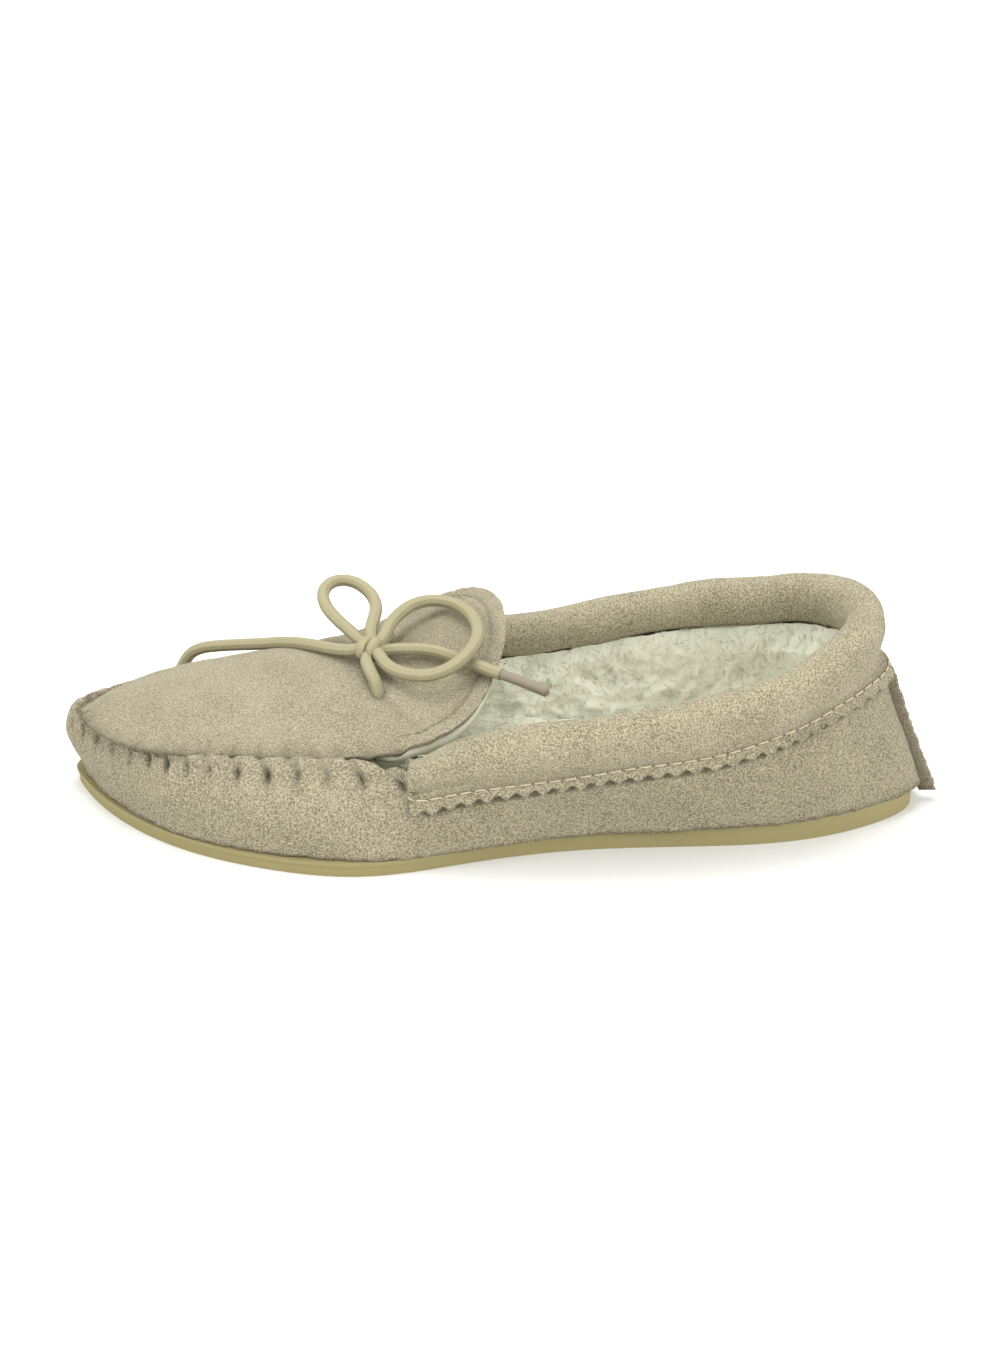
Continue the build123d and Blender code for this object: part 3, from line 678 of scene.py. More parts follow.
def scatter_tree():
    """Strands standing on a surface, leaning at random."""
    tree, start, end = node_tree("loose_strands", [
        ("Density", "NodeSocketFloat"), ("Strand", "NodeSocketObject"), ("Lean", "NodeSocketFloat"),
        ("Material", "NodeSocketMaterial")])
    nodes, links = tree.nodes, tree.links
    spots = nodes.new("GeometryNodeDistributePointsOnFaces")
    spots.inputs["Seed"].default_value = 7
    links.new(start.outputs["Geometry"], spots.inputs["Mesh"])
    links.new(start.outputs["Density"], spots.inputs["Density"])
    wander = nodes.new("FunctionNodeRandomValue")
    wander.data_type = "FLOAT_VECTOR"
    wander.inputs[0].default_value = (-1, -1, -1)
    wander.inputs[1].default_value = (1, 1, 1)
    wander.inputs["Seed"].default_value = 3
    lean = nodes.new("ShaderNodeVectorMath")
    lean.operation = "SCALE"
    links.new(wander.outputs["Value"], lean.inputs[0])
    links.new(start.outputs["Lean"], lean.inputs["Scale"])
    way = nodes.new("ShaderNodeVectorMath")
    links.new(spots.outputs["Normal"], way.inputs[0])
    links.new(lean.outputs["Vector"], way.inputs[1])
    turn = nodes.new("FunctionNodeAxesToRotation")
    turn.primary_axis = "Z"
    turn.secondary_axis = "X"
    links.new(way.outputs["Vector"], turn.inputs["Primary Axis"])
    links.new(wander.outputs["Value"], turn.inputs["Secondary Axis"])
    size = nodes.new("FunctionNodeRandomValue")
    size.data_type = "FLOAT"
    size.inputs[2].default_value = 0.55
    size.inputs[3].default_value = 1.25
    size.inputs["Seed"].default_value = 5
    shape = nodes.new("GeometryNodeObjectInfo")
    links.new(start.outputs["Strand"], shape.inputs["Object"])
    place = nodes.new("GeometryNodeInstanceOnPoints")
    links.new(spots.outputs["Points"], place.inputs["Points"])
    links.new(shape.outputs["Geometry"], place.inputs["Instance"])
    links.new(turn.outputs["Rotation"], place.inputs["Rotation"])
    links.new(size.outputs[1], place.inputs["Scale"])
    realised(tree, place.outputs["Instances"], start, end)
    return tree


def through_tree(name, source, tree, values):
    """Runs a geometry node tree over a mesh and keeps the result as a plain mesh piece."""
    worker = bpy.data.objects.new(name, source)
    bpy.context.scene.collection.objects.link(worker)
    modifier = worker.modifiers.new("nodes", "NODES")
    modifier.node_group = tree
    for item in tree.interface.items_tree:
        if item.in_out == "INPUT" and item.name in values:
            modifier[item.identifier] = values[item.name]
    piece = apply_modifiers(worker)
    for face in piece.data.polygons:
        face.use_smooth = True
    return piece


def line_mesh(points, ups):
    """A line of edges with an 'up' direction at each point."""
    mesh = bpy.data.meshes.new("line")
    mesh.from_pydata([tuple(p) for p in points], [(i, i + 1) for i in range(len(points) - 1)], [])
    attribute = mesh.attributes.new("up", "FLOAT_VECTOR", "POINT")
    attribute.data.foreach_set("vector", np.asarray(ups, np.float32).ravel())
    return mesh


def stitch_row(name, points, ups, pitch, stitch, stuff):
    """Repeats a stitch along a line as one piece, and removes the pattern."""
    tree = bpy.data.node_groups.get("stitch_row") or stitch_row_tree()
    piece = through_tree(name, line_mesh(points, ups), tree,
                         {"Pitch": pitch, "Stitch": stitch, "Material": material(stuff), "Jitter": 0.15})
    bpy.data.objects.remove(stitch)
    return piece


def bar_shape(line, radius):
    """A little bar of thread along a few points, for the stitch rows to repeat."""
    return tube("stitch_shape", line, radius, "thread", sides=6, taper=radius)


# ---------------------------------------------------------------- the upper's shape
def below_crown(turn):
    """Millimetres below the ridge's crown at this many degrees round it; negative past the crown."""
    if turn < RIDGE_CROWN:
        return RIDGE_CLIMB * (1 - turn / RIDGE_CROWN)
    return -(turn - RIDGE_CROWN) / RIDGE_CROWN * 4.2


def gather_wobble(index):
    """How far a gather strays from its even place, as a share of the pitch."""
    return 0.10 * np.sin(index * 12.9898) + 0.05 * np.sin(index * 5.1)


def seam_lean(down):
    """How far along the seam a crease has wandered, this many millimetres below the ridge's top."""
    return -MM * (0.8 * np.clip(down, -5, 5) + 0.3 * np.clip(down - 5, 0, 9))


class Shape:
    """What several pieces share: the apron's roof and outline, and the distance along its seam."""

    def __init__(self):
        self.roof_tree = tree_of("apron", "tongue")
        self.angles = np.linspace(-math.pi, math.pi, 721)
        self.reach = softened([self.outline(a) for a in self.angles], 3)
        self.step = 1.5 * MM
        low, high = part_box("apron")
        tongue_low, tongue_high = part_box("tongue")
        self.low = Vector((low.x, min(low.y, tongue_low.y), 0))
        count_x = int((tongue_high.x - low.x) / self.step) + 2
        count_y = int((max(high.y, tongue_high.y) - self.low.y) / self.step) + 2
        self.heights = self.sampled(count_x, count_y)
        rim = self.outline_points(self.angles)
        self.seam_run = distances(rim)

    def over(self, x, y):
        """Height of the roof's top, or None where there is a hole or the fold's gap."""
        return self.roof_tree.ray_cast(Vector((x, y, 0.12)), Vector((0, 0, -1)), 0.12)[0]

    def outline(self, angle):
        gap = 1.3 * MM
        for reach in np.arange(0.085, 0.01, -0.4 * MM):
            x = APRON_MIDDLE.x + reach * math.cos(angle)
            y = APRON_MIDDLE.y + reach * math.sin(angle)
            if any(self.over(x + shift, y) for shift in (0, gap, -gap)):
                return reach
        return 0.03

    def sampled(self, count_x, count_y):
        """The roof's height on a grid, with its holes and surroundings filled in smoothly."""
        heights = np.full((count_x, count_y), np.nan)
        for i in range(count_x):
            for j in range(count_y):
                hit = self.over(self.low.x + i * self.step, self.low.y + j * self.step)
                if hit:
                    heights[i, j] = hit.z
        known = ~np.isnan(heights)
        filled = np.where(known, heights, np.nanmean(heights))
        count = known.astype(float)
        while (count == 0).any():
            total, weight = np.zeros_like(filled), np.zeros_like(filled)
            for shift, axis in ((1, 0), (-1, 0), (1, 1), (-1, 1)):
                total += np.roll(filled * count, shift, axis)
                weight += np.roll(count, shift, axis)
            fresh = (count == 0) & (weight > 0)
            filled[fresh] = total[fresh] / weight[fresh]
            count[fresh] = 1
        return filled

    def height(self, x, y):
        """Height of the roof, from the grid."""
        i = np.clip((np.asarray(x) - self.low.x) / self.step, 0, self.heights.shape[0] - 1.001)
        j = np.clip((np.asarray(y) - self.low.y) / self.step, 0, self.heights.shape[1] - 1.001)
        a, b = i.astype(int), j.astype(int)
        u, v = i - a, j - b
        h = self.heights
        return ((1 - u) * (1 - v) * h[a, b] + u * (1 - v) * h[a + 1, b]
                + (1 - u) * v * h[a, b + 1] + u * v * h[a + 1, b + 1])

    def outline_points(self, angles):
        reach = np.interp(angles, self.angles, self.reach)
        return np.stack((APRON_MIDDLE.x + reach * np.cos(angles), APRON_MIDDLE.y + reach * np.sin(angles)), 1)

    def seam_place(self, x, y):
        """Distance along the seam, from the toe's tip, of the outline's point nearest in angle."""
        angle = np.arctan2(np.asarray(y) - APRON_MIDDLE.y, np.asarray(x) - APRON_MIDDLE.x)
        return np.interp(angle, self.angles, self.seam_run)

    def gathers(self, x, y, lean=0.0):
        """How deep in a crease a place is, how near its pillow's edge, and the share of gathering there."""
        place = self.seam_place(x, y) + lean
        pitch = sizes().whip_pitch
        index = np.round(place / pitch)
        phase = place / pitch - index - gather_wobble(index)
        strength = 1.0 + 0.28 * np.sin(index * 7.77 + 1)
        crease = np.exp(-np.abs(phase / 0.14) ** 1.6) * strength
        fullness = 1 - np.cos(np.pi * np.clip(phase, -0.5, 0.5)) ** 2
        end = np.where(np.asarray(y) < 0, NEAR_GATHERS_END, FAR_GATHERS_END)
        share = 1 - smooth_step(x, end - 6 * MM, end + 2 * MM)
        return crease, fullness, share


SHAPE = {}


def shape():
    if "upper" not in SHAPE:
        SHAPE["upper"] = Shape()
    return SHAPE["upper"]


def keep(piece, body, slot, *nodes):
    """Ties a finished piece to its body and hides the CAD nodes that it stands for; its slot is not used."""
    if body:
        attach(piece, body)
    if nodes:
        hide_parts(*nodes)
    return piece


def bend_with_tongue(piece, slot, *nodes):
    """Hides the CAD nodes that a finished piece crossing the tongue's fold stands for, and bakes its
    transform into its mesh.
    """
    keep(piece, None, slot, *nodes)
    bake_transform(piece)
    return piece


def paint(node, stuff):
    """Gives a solid of the frame its material."""
    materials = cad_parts[node].data.materials
    materials.clear()
    materials.append(material(stuff))


# ---------------------------------------------------------------- pieces
class BuildSole(bpy.types.Operator):
    """Gives the moulded sole its rubber"""
    bl_idname = "slipper.build_sole"
    bl_label = "Sole"

    def execute(self, context):
        paint("outsole", "sole_rubber")
        return {"FINISHED"}


class BuildWrap(bpy.types.Operator):
    """Makes the gathered suede wrap from the frame's plain one"""
    bl_idname = "slipper.build_wrap"
    bl_label = "Suede wrap"

    def execute(self, context):
        wrap, sole = tree_of("suede_wrap"), tree_of("outsole")
        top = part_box("suede_wrap")[1].z
        angles = even_angles(wrap, 0.017, 0.85 * MM)
        bottoms, tops = [], []
        for angle in angles:
            foot = from_outside(wrap, angle, 0.012)
            start, way = heading(angle)
            under = sole.ray_cast(foot - way * 5 * MM + Vector((0, 0, 0.05)), Vector((0, 0, -1)), 0.1)[0]
            bottoms.append(under.z + 0.25 * MM if under else 6 * MM)
            tops.append(edge_height(wrap, angle, 0.015, top + MM))
        bottoms = softened(bottoms, 8, True)
        tops = softened(tops, 4, True)
        feet = np.array([tuple(from_outside(wrap, a, 0.02)) for a in angles])
        near_end = (feet[:, 1] < 0) & (feet[:, 0] > -50 * MM) & (feet[:, 0] < -22 * MM)
        lifted = 31.4 * MM - smooth_step(feet[:, 0], -27 * MM, -21.5 * MM) * 8 * MM
        tops = np.where(near_end, np.maximum(tops, lifted), tops)
        gathered = shape().gathers(feet[:, 0], feet[:, 1])[2]
        wall_tops = tops - (0.4 * MM + (RIDGE - 1.1 * MM) * gathered)
        wall_rows = 34
        grid = []
        for row in range(wall_rows):
            share = (row / (wall_rows - 1)) ** 0.85
            grid.append(contour(wrap, angles, bottoms + (wall_tops - bottoms) * share, from_outside))
        grid = np.array(grid)
        ways = np.array([tuple(heading(a)[1]) for a in angles])
        below = (grid[-1, :, 2] - grid[:, :, 2]) / MM + RIDGE_CLIMB * gathered
        normal = normals_of(grid, True)
        crest = grid[-1]
        crease, pillow, share = shape().gathers(crest[None, :, 0], crest[None, :, 1], seam_lean(below))
        depth = 1.5 * np.exp(-((below - 5.6) / 2.6) ** 2) + 0.75 * np.exp(-np.clip(below - 4, 0, None) / 5.0)
        fullness = np.exp(-((below - 4.5) / 4.5) ** 2)
        folds = field(np.stack((grid[:, :, 0], grid[:, :, 1], grid[:, :, 2] * 0.35), 2), 9 * MM, 4.0)
        lift = share * MM * (1.5 * fullness * (1 - pillow) - 1.5 * depth * crease)
        fading = np.exp(-np.clip(below - 4, 0, None) / 12) * smooth_step(below, 4, 9)
        lift += 0.75 * MM * folds * share * fading
        lift += 0.4 * MM * field(grid, 26 * MM, 9.0) + 0.12 * MM * field(grid, 5 * MM, 2.0)
        hem = np.exp(-((grid[:, :, 2] - bottoms[None]) / (1.6 * MM)))
        lift += hem * MM * (0.35 + 0.35 * field(grid, 3 * MM, 6.0))
        grid = grid + normal * lift[:, :, None]
        # Painted shade: darker in the gathers' pits and along the hem where it meets the sole, with a painted
        # shadow on the wall under the cuff's flap.
        dark = share * 0.5 * crease ** 2 * np.exp(-((below - 5.4) / 2.2) ** 2)
        dark = dark + share * 0.16 * crease * np.exp(-np.clip(below - 4, 0, None) / 6) + 0.25 * hem ** 3
        under_cuff = (1 - share) * np.exp(-((below - 3.9) / 1.5) ** 4)
        dark = dark + 0.7 * under_cuff
        rows, shades = [grid], [dark]
        centre = crest - ways * RIDGE
        for turn in RIDGE_TURNS:
            angle = math.radians(turn)
            lean = seam_lean(below_crown(turn))
            crease, pillow, share = shape().gathers(crest[:, 0], crest[:, 1], lean)
            pinch = 1 - 0.48 * np.clip(crease, 0, 1.15)
            swell = RIDGE * (1 + 0.24 * (1 - pillow)) * pinch
            radius = share * swell + (1 - share) * 0.9 * MM
            middle = centre * share[:, None] + (crest - ways * 0.9 * MM) * (1 - share[:, None])
            line = middle + ways * (radius * math.cos(angle))[:, None]
            line[:, 2] += radius * math.sin(angle) * (1.12 if math.sin(angle) > 0 else 1.0)
            line += 0.12 * MM * field(line, 3 * MM, 15.0)[:, None] * share[:, None]
            rows.append(line[None])
            # Painted shade inside the ridge, deepest in its pits.
            inner = math.exp(-((turn - 190) / 30) ** 2)
            shades.append((share * (0.28 * crease * (1 + 0.8 * inner) + 0.35 * inner * crease))[None])
        grid, dark = np.concatenate(rows), np.concatenate(shades)
        piece = grid_piece("suede_wrap_gathered", grid, "suede_upper", True, dark)
        thicken(piece, 1.1 * MM)
        keep(piece, "shoe", "suede", "suede_wrap")
        SHAPE["ridge"] = (grid, crest, gathered)
        return {"FINISHED"}


class BuildApron(bpy.types.Operator):
    """Makes the apron and tongue as one arched piece of suede, with the wool under it"""
    bl_idname = "slipper.build_apron"
    bl_label = "Apron and tongue"

    def execute(self, context):
        upper = shape()
        count = 520
        rim = upper.outline_points(np.linspace(-math.pi, math.pi, 2881))
        run = distances(rim)
        places = np.interp(np.linspace(0, run[-1], count + 1)[:-1], run, np.linspace(-math.pi, math.pi, 2881))
        rim = upper.outline_points(places)
        middle = np.array(APRON_MIDDLE[:2])
        shares = 1 - (1 - np.linspace(0.02, 1, 44)) ** 1.35
        plan = middle + (rim - middle)[None] * shares[:, None, None]
        inset = np.linalg.norm(rim[None] - plan, axis=2) / MM
        x, y = plan[:, :, 0], plan[:, :, 1]
        z = upper.height(x, y)
        crease, _, share = upper.gathers(rim[None, :, 0] + 0 * x, rim[None, :, 1] + 0 * x)
        z = z - share * MM * (1.3 * np.exp(-inset / 4.5) + 1.1 * crease * np.exp(-inset / 4.0))
        flat = np.stack((x, y, z), 2)
        waves = 0.45 * field(flat, 30 * MM, 1.0) + 0.10 * field(flat, 6 * MM, 3.0)
        z = z + MM * waves * np.clip(inset / 6, 0, 1)
        free = smooth_step(x, -30 * MM, -22 * MM)
        z = z - 0.35 * MM * free * np.exp(-((inset - STITCH_INSET) / 0.8) ** 2)
        z = z + 0.5 * MM * free * np.exp(-((inset - 1.5) / 2.0) ** 2)
        for hole_x, hole_y in LACE_HOLES:
            distance = np.hypot(x / MM - hole_x, y / MM - hole_y)
            z = z - 1.5 * MM * np.exp(-(distance / 2.2) ** 2)
        (fold_x, fold_y), (foot_x, foot_y) = PRESSED_FOLD
        step_x, step_y = foot_x - fold_x, foot_y - fold_y
        off_x, off_y = x / MM - fold_x, y / MM - fold_y
        along = np.clip((off_x * step_x + off_y * step_y) / (step_x ** 2 + step_y ** 2), 0, 1)
        off = np.hypot(off_x - step_x * along, off_y - step_y * along)
        z = z - 0.9 * MM * np.exp(-(off / 2.6) ** 2) * (1 - 0.5 * along)
        grid = np.stack((x, y, z), 2)
        corners = np.concatenate((grid.reshape(-1, 3), [grid[0].mean(0)]))
        faces = [tuple(reversed(f)) for f in grid_faces(len(shares), count, True)]
        faces += [(len(corners) - 1, k, (k + 1) % count) for k in range(count)]
        piece = mesh_piece("apron_and_tongue", corners, faces, "suede_apron")
        # Painted shade: darker along the rim by the gathered seam and in its gathers, in the groove of the
        # tongue's stitch line, down the pressed fold and round the lace holes.
        dark = share * (0.5 * np.exp(-inset / 1.5) + 0.35 * crease * np.exp(-inset / 3.0))
        dark = dark + 0.42 * free * np.exp(-((inset - STITCH_INSET) / 0.5) ** 2)
        dark = dark + 0.3 * np.exp(-(off / 1.6) ** 2) * (1 - along)
        for hole_x, hole_y in LACE_HOLES:
            dark = dark + 0.8 * np.exp(-(np.hypot(x / MM - hole_x, y / MM - hole_y) / 2.0) ** 2)
        paint_shade(piece, np.concatenate((dark.ravel(), [0.0])))
        thicken(piece, sizes().suede)
        bevel = piece.modifiers.new("worn edge", "BEVEL")
        bevel.width = 0.45 * MM
        bevel.segments = 2
        bevel.limit_method = "ANGLE"
        bevel.angle_limit = math.radians(50)
        apply_modifiers(piece)
        bend_with_tongue(piece, "suede", "apron", "tongue")
        self.wool(grid, rim, middle)
        self.stitches(inset, grid, rim)
        return {"FINISHED"}

    def wool(self, grid, rim, middle):
        """The wool glued under the apron and tongue, set in from their edge."""
        length = np.linalg.norm((rim - middle)[::3], axis=1, keepdims=True)
        setback = (MM * (5.5 - 4.7 * smooth_step(rim[::3, 0], -41 * MM, -31 * MM)))[:, None]
        top = grid[::2, ::3].copy()
        top[:, :, :2] = middle + (top[:, :, :2] - middle) * (1 - setback / length)[None]
        top[:, :, 2] = shape().height(top[:, :, 0], top[:, :, 1]) - sizes().suede - 0.9 * MM
        under = top.copy()
        fullness = 4.0 * MM * np.linspace(1, 0.35, len(top))[:, None] ** 0.5
        under[:, :, 2] -= fullness + 0.8 * MM * (0.5 + 0.5 * field(top, 5 * MM, 8.0))
        layers = np.concatenate((top, under[::-1]))
        count = layers.shape[1]
        corners = layers.reshape(-1, 3)
        faces = grid_faces(layers.shape[0], count, True)
        first_pole, last_pole = len(corners), len(corners) + 1
        corners = np.concatenate((corners, [top[0].mean(0)], [under[0].mean(0)]))
        faces += [(first_pole, (k + 1) % count, k) for k in range(count)]
        last = (layers.shape[0] - 1) * count
        faces += [(last_pole, last + k, last + (k + 1) % count) for k in range(count)]
        piece = mesh_piece("apron_wool", corners, faces, "wool_pile")
        bend_with_tongue(piece, "wool_pile", "apron_lining", "tongue_lining")

    def stitches(self, inset, grid, rim):
        """A row of small stitches inside the tongue's free edge."""
        points = [
            [np.interp(-STITCH_INSET, -inset[:, column], grid[:, column, axis]) for axis in range(3)]
            for column in np.flatnonzero(rim[:, 0] >= -27 * MM)
        ]
        points = softened(points, 3)
        points[:, 2] += 0.1 * MM
        ups = np.tile((0, 0, 1.0), (len(points), 1))
        stitch = bar_shape([(-0.75 * MM, 0, 0), (0, 0, 0.12 * MM), (0.75 * MM, 0, 0)], 0.24 * MM)
        piece = stitch_row("tongue_stitches", points, ups, sizes().tongue_stitch, stitch, "thread_dark")
        keep(piece, "tongue", "thread", "tongue_stitching")


class BuildWhipStitches(bpy.types.Operator):
    """Lays the thread that gathers the wrap to the apron, one pair of strands in each pit"""
    bl_idname = "slipper.build_whip_stitches"
    bl_label = "Whip stitches"

    def execute(self, context):
        upper = shape()
        pitch = sizes().whip_pitch
        grid, crest, gathered = SHAPE["ridge"]
        place = upper.seam_place(crest[:, 0], crest[:, 1])
        order = np.argsort(place)
        first_row = grid.shape[0] - len(RIDGE_TURNS)
        turn_step = RIDGE_TURNS[1] - RIDGE_TURNS[0]
        strands = []
        for index in range(int(upper.seam_run[-1] / pitch) + 1):
            centre = (index + gather_wobble(index)) * pitch
            if np.interp(centre, place[order], gathered[order]) < 0.9:
                continue
            for shift in (-0.38, 0.38):
                line = []
                for row in range(first_row - 2, grid.shape[0] - 1):
                    turn = RIDGE_TURNS[0] + (row - first_row) * turn_step
                    at = centre - seam_lean(below_crown(turn)) + shift * MM
                    line.append([np.interp(at, place[order], grid[row, order, axis]) for axis in range(3)])
                strands.append(tube("whip_strand", smooth_line(line, 16), 0.26 * MM, "thread_dark",
                                    sides=6, taper=0.4 * MM))
        piece = joined("whip_stitches", strands)
        keep(piece, "shoe", "thread", "apron_stitching")
        return {"FINISHED"}


class BuildCollar(bpy.types.Operator):
    """Rolls the padded collar and hangs its pinked and stitched flap"""
    bl_idname = "slipper.build_collar"
    bl_label = "Collar"

    def execute(self, context):
        wrap, cuff, filling = tree_of("suede_wrap"), tree_of("collar_cuff"), tree_of("collar_filling")
        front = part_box("collar_cuff")[0].x
        first, last = self.ends(filling, front)
        angles, places = self.columns(filling, first, last)
        sections = [self.section(filling, angle) for angle in angles]
        rolls = softened(np.array([s[0] for s in sections]), 6)
        rolls = np.moveaxis(rolls, 0, 1)
        edges = softened([edge_height(wrap, a, 0.015, 0.06) for a in angles], 10)
        flap = self.flap(cuff, angles, edges, places)
        ways = np.array([tuple(heading(a)[1]) for a in angles])
        swell = field(rolls, 22 * MM, 5.0) * 0.55 * MM + field(rolls, 7 * MM, 1.5) * 0.16 * MM
        centre = np.array([s[1] for s in sections])
        out = rolls - softened(centre, 6)[None]
        out /= np.linalg.norm(out, axis=2, keepdims=True)
        rolls = rolls + out * swell[:, :, None]
        line = flap[0]
        between = [rolls[-1] * (1 - share) + line * share for share in (0.35, 0.7)]
        grid = np.concatenate([rolls, between, flap])[::-1]
        # Painted shade along the stitch line's groove; the teeth's bottom edge is darker too.
        dark = np.zeros(grid.shape[:2])
        dark[len(flap) - 2:len(flap) + 1] = np.array((0.16, 0.34, 0.2))[:, None]
        dark[0] = 0.25
        piece = grid_piece("collar_roll", grid, "suede_cuff", False, dark)
        thicken(piece, 1.2 * MM)
        keep(piece, "shoe", "suede", "collar_cuff", "collar_filling")
        normal = normals_of(flap, False)[0]
        outward = np.where((normal * ways).sum(1, keepdims=True) > 0, normal, -normal)
        self.stitches(line + outward * 0.1 * MM, outward)
        return {"FINISHED"}

    def ends(self, filling, front):
        """The angles of the collar's two front ends."""
        def present(angle):
            start, way = heading(angle)
            for reach in np.arange(0.02, 0.07, MM):
                spot = start + way * reach + Vector((0, 0, 0.12))
                if filling.ray_cast(spot, Vector((0, 0, -1)), 0.12)[0]:
                    return True
            return False
        near = next(a for a in np.arange(1.25 * math.pi, 1.6 * math.pi, 0.004) if present(a))
        far = next(a for a in np.arange(2.75 * math.pi, 2.4 * math.pi, -0.004) if present(a))
        return near + 0.004, far - 0.004

    def centre(self, filling, angle):
        start, way = heading(angle)
        reaches = []
        for reach in np.arange(0.015, 0.075, 0.7 * MM):
            spot = start + way * reach + Vector((0, 0, 0.12))
            if filling.ray_cast(spot, Vector((0, 0, -1)), 0.12)[0]:
                reaches.append(reach)
        middle = (reaches[0] + reaches[-1]) / 2
        spot = start + way * middle
        top = filling.ray_cast(spot + Vector((0, 0, 0.12)), Vector((0, 0, -1)), 0.12)[0].z
        bottom = filling.ray_cast(spot, Vector((0, 0, 1)), 0.12)[0].z
        return spot + Vector((0, 0, bottom + 0.6 * (top - bottom)))

    def columns(self, filling, first, last):
        """Angles evenly spaced along the collar's middle line."""
        fine = np.linspace(first, last, 160)
        middles = softened([tuple(self.centre(filling, a)) for a in fine], 2)
        run = distances(middles)
        places = np.linspace(0, run[-1], int(run[-1] / (0.7 * MM)))
        return np.interp(places, run, fine), places

    def section(self, filling, angle):
        """One section of the roll's outer surface, from its inner foot over the crown to its outer foot."""
        way = heading(angle)[1]
        centre = self.centre(filling, angle)
        points = []
        for turn in np.radians(np.linspace(248, -62, 30)):
            ray = way * math.cos(turn) + Vector((0, 0, math.sin(turn)))
            hit = filling.ray_cast(centre, ray, 0.05)[0]
            reach = (hit - centre).length if hit else 4 * MM
            points.append(tuple(centre + ray * (reach + 1.9 * MM)))
        return points, tuple(centre)

    def flap(self, cuff, angles, edges, places):
        """The flap below the stitches, ending in rounded teeth."""
        phase = places / sizes().tooth
        tooth = np.abs(phase - np.round(phase)) * 2
        drop = (5.2 - 3.1 * (1 - tooth) ** 0.8) * MM
        rows = []
        for share in (0, 0.08, 0.3, 0.55, 0.8, 1.0):
            line = []
            for angle, edge, fall in zip(angles, edges, drop):
                height = edge + 0.2 * MM - fall * share
                hit = from_outside(cuff, angle, edge - 4.4 * MM * share + 0.2 * MM)
                start, way = heading(angle)
                if not hit:
                    hit = Vector(line[-1]) if line else start + way * 0.04
                tuck = 0.55 * MM * (1 - share) - 0.65 * MM * share
                spot = hit - way * tuck
                line.append((spot.x, spot.y, height))
            rows.append(softened(line, 1))
        rows = np.array(rows)
        flutter = field(rows, 6 * MM, 12.0) * 0.3 * MM * np.linspace(0, 1, len(rows))[:, None]
        ways = np.array([tuple(heading(a)[1]) for a in angles])
        return rows + ways[None] * flutter[:, :, None]

    def stitches(self, line, ups):
        pitch = sizes().cuff_stitch
        half = 0.40 * pitch
        arch = ((-1, -0.25), (-0.8, 0.1), (0, 0.22), (0.8, 0.1), (1, -0.25))
        bow = [(half * share, 0, height * MM) for share, height in arch]
        piece = stitch_row("cuff_stitches", line, ups, pitch, bar_shape(bow, 0.26 * MM), "thread")
        keep(piece, "shoe", "thread", "cuff_stitching")
        # Painted shade: a near-black dimple in each stitch hole, between the stitches.
        dent = [(-0.12 * MM, 0, -0.02 * MM), (0, 0, 0.05 * MM), (0.12 * MM, 0, -0.02 * MM)]
        dimple = bar_shape(dent, 0.42 * MM)
        step = line[1:] - line[:-1]
        shifted = line[:-1] + step / np.linalg.norm(step, axis=1, keepdims=True) * pitch / 2
        holes = stitch_row("cuff_holes", shifted, ups[:-1], pitch, dimple, "stitch_hole_shade")
        keep(holes, "shoe", "thread")


class BuildHeelFin(bpy.types.Operator):
    """Stands the two cut edges of the heel's back seam side by side"""
    bl_idname = "slipper.build_heel_fin"
    bl_label = "Heel seam"

    def execute(self, context):
        fin = tree_of("heel_seam_fin")
        low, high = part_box("heel_seam_fin")
        middle = (low.y + high.y) / 2
        heights = np.linspace(low.z + 0.3 * MM, high.z - 0.5 * MM, 150)
        outer, inner = [], []
        for height in heights:
            far = Vector((high.x + 0.02, middle, height))
            back = fin.ray_cast(far, Vector((-1, 0, 0)), 0.1)[0]
            outer.append(back.x if back else (outer[-1] if outer else high.x))
            inner.append(outer[-1] - 6 * MM)
        outer, inner = softened(outer, 3), softened(inner, 3)
        plies = []
        nothing = 0 * outer
        sway = 0.3 * MM * field(np.stack((nothing, nothing, heights), 1), 14 * MM, 2.0)
        for side in (-1, 1):
            spots = np.stack((nothing, nothing + side, heights), 1)
            ragged = 0.35 * field(spots, 3 * MM, side * 3.0) + 0.25 * field(spots, 1.2 * MM, 4.0)
            reach = outer + ragged * MM
            rows = []
            for turn in np.linspace(-90, 90, 9):
                angle = math.radians(turn)
                x = reach - 0.8 * MM * (1 - math.cos(angle))
                y = middle + side * 0.95 * MM + sway + 0.8 * MM * math.sin(angle)
                rows.append(np.stack((x, y, heights), 1))
            root_low, root_high = rows[0].copy(), rows[-1].copy()
            root_low[:, 0], root_high[:, 0] = inner, inner
            grid = np.array([root_low, *rows, root_high])[::-1]
            # Painted shade: the whole fin a little darker, more at its foot, and most in the grooves at its
            # roots.
            shade = np.full(grid.shape[:2], 0.12)
            shade[:, :6] += 0.2
            shade[[0, -1]] += 0.75
            shade[[1, -2]] += 0.25
            plies.append(grid_piece(f"fin_{side}", grid, "suede_upper", False, shade))
        piece = joined("heel_seam_edges", plies)
        keep(piece, "shoe", "suede", "heel_seam_fin")
        return {"FINISHED"}


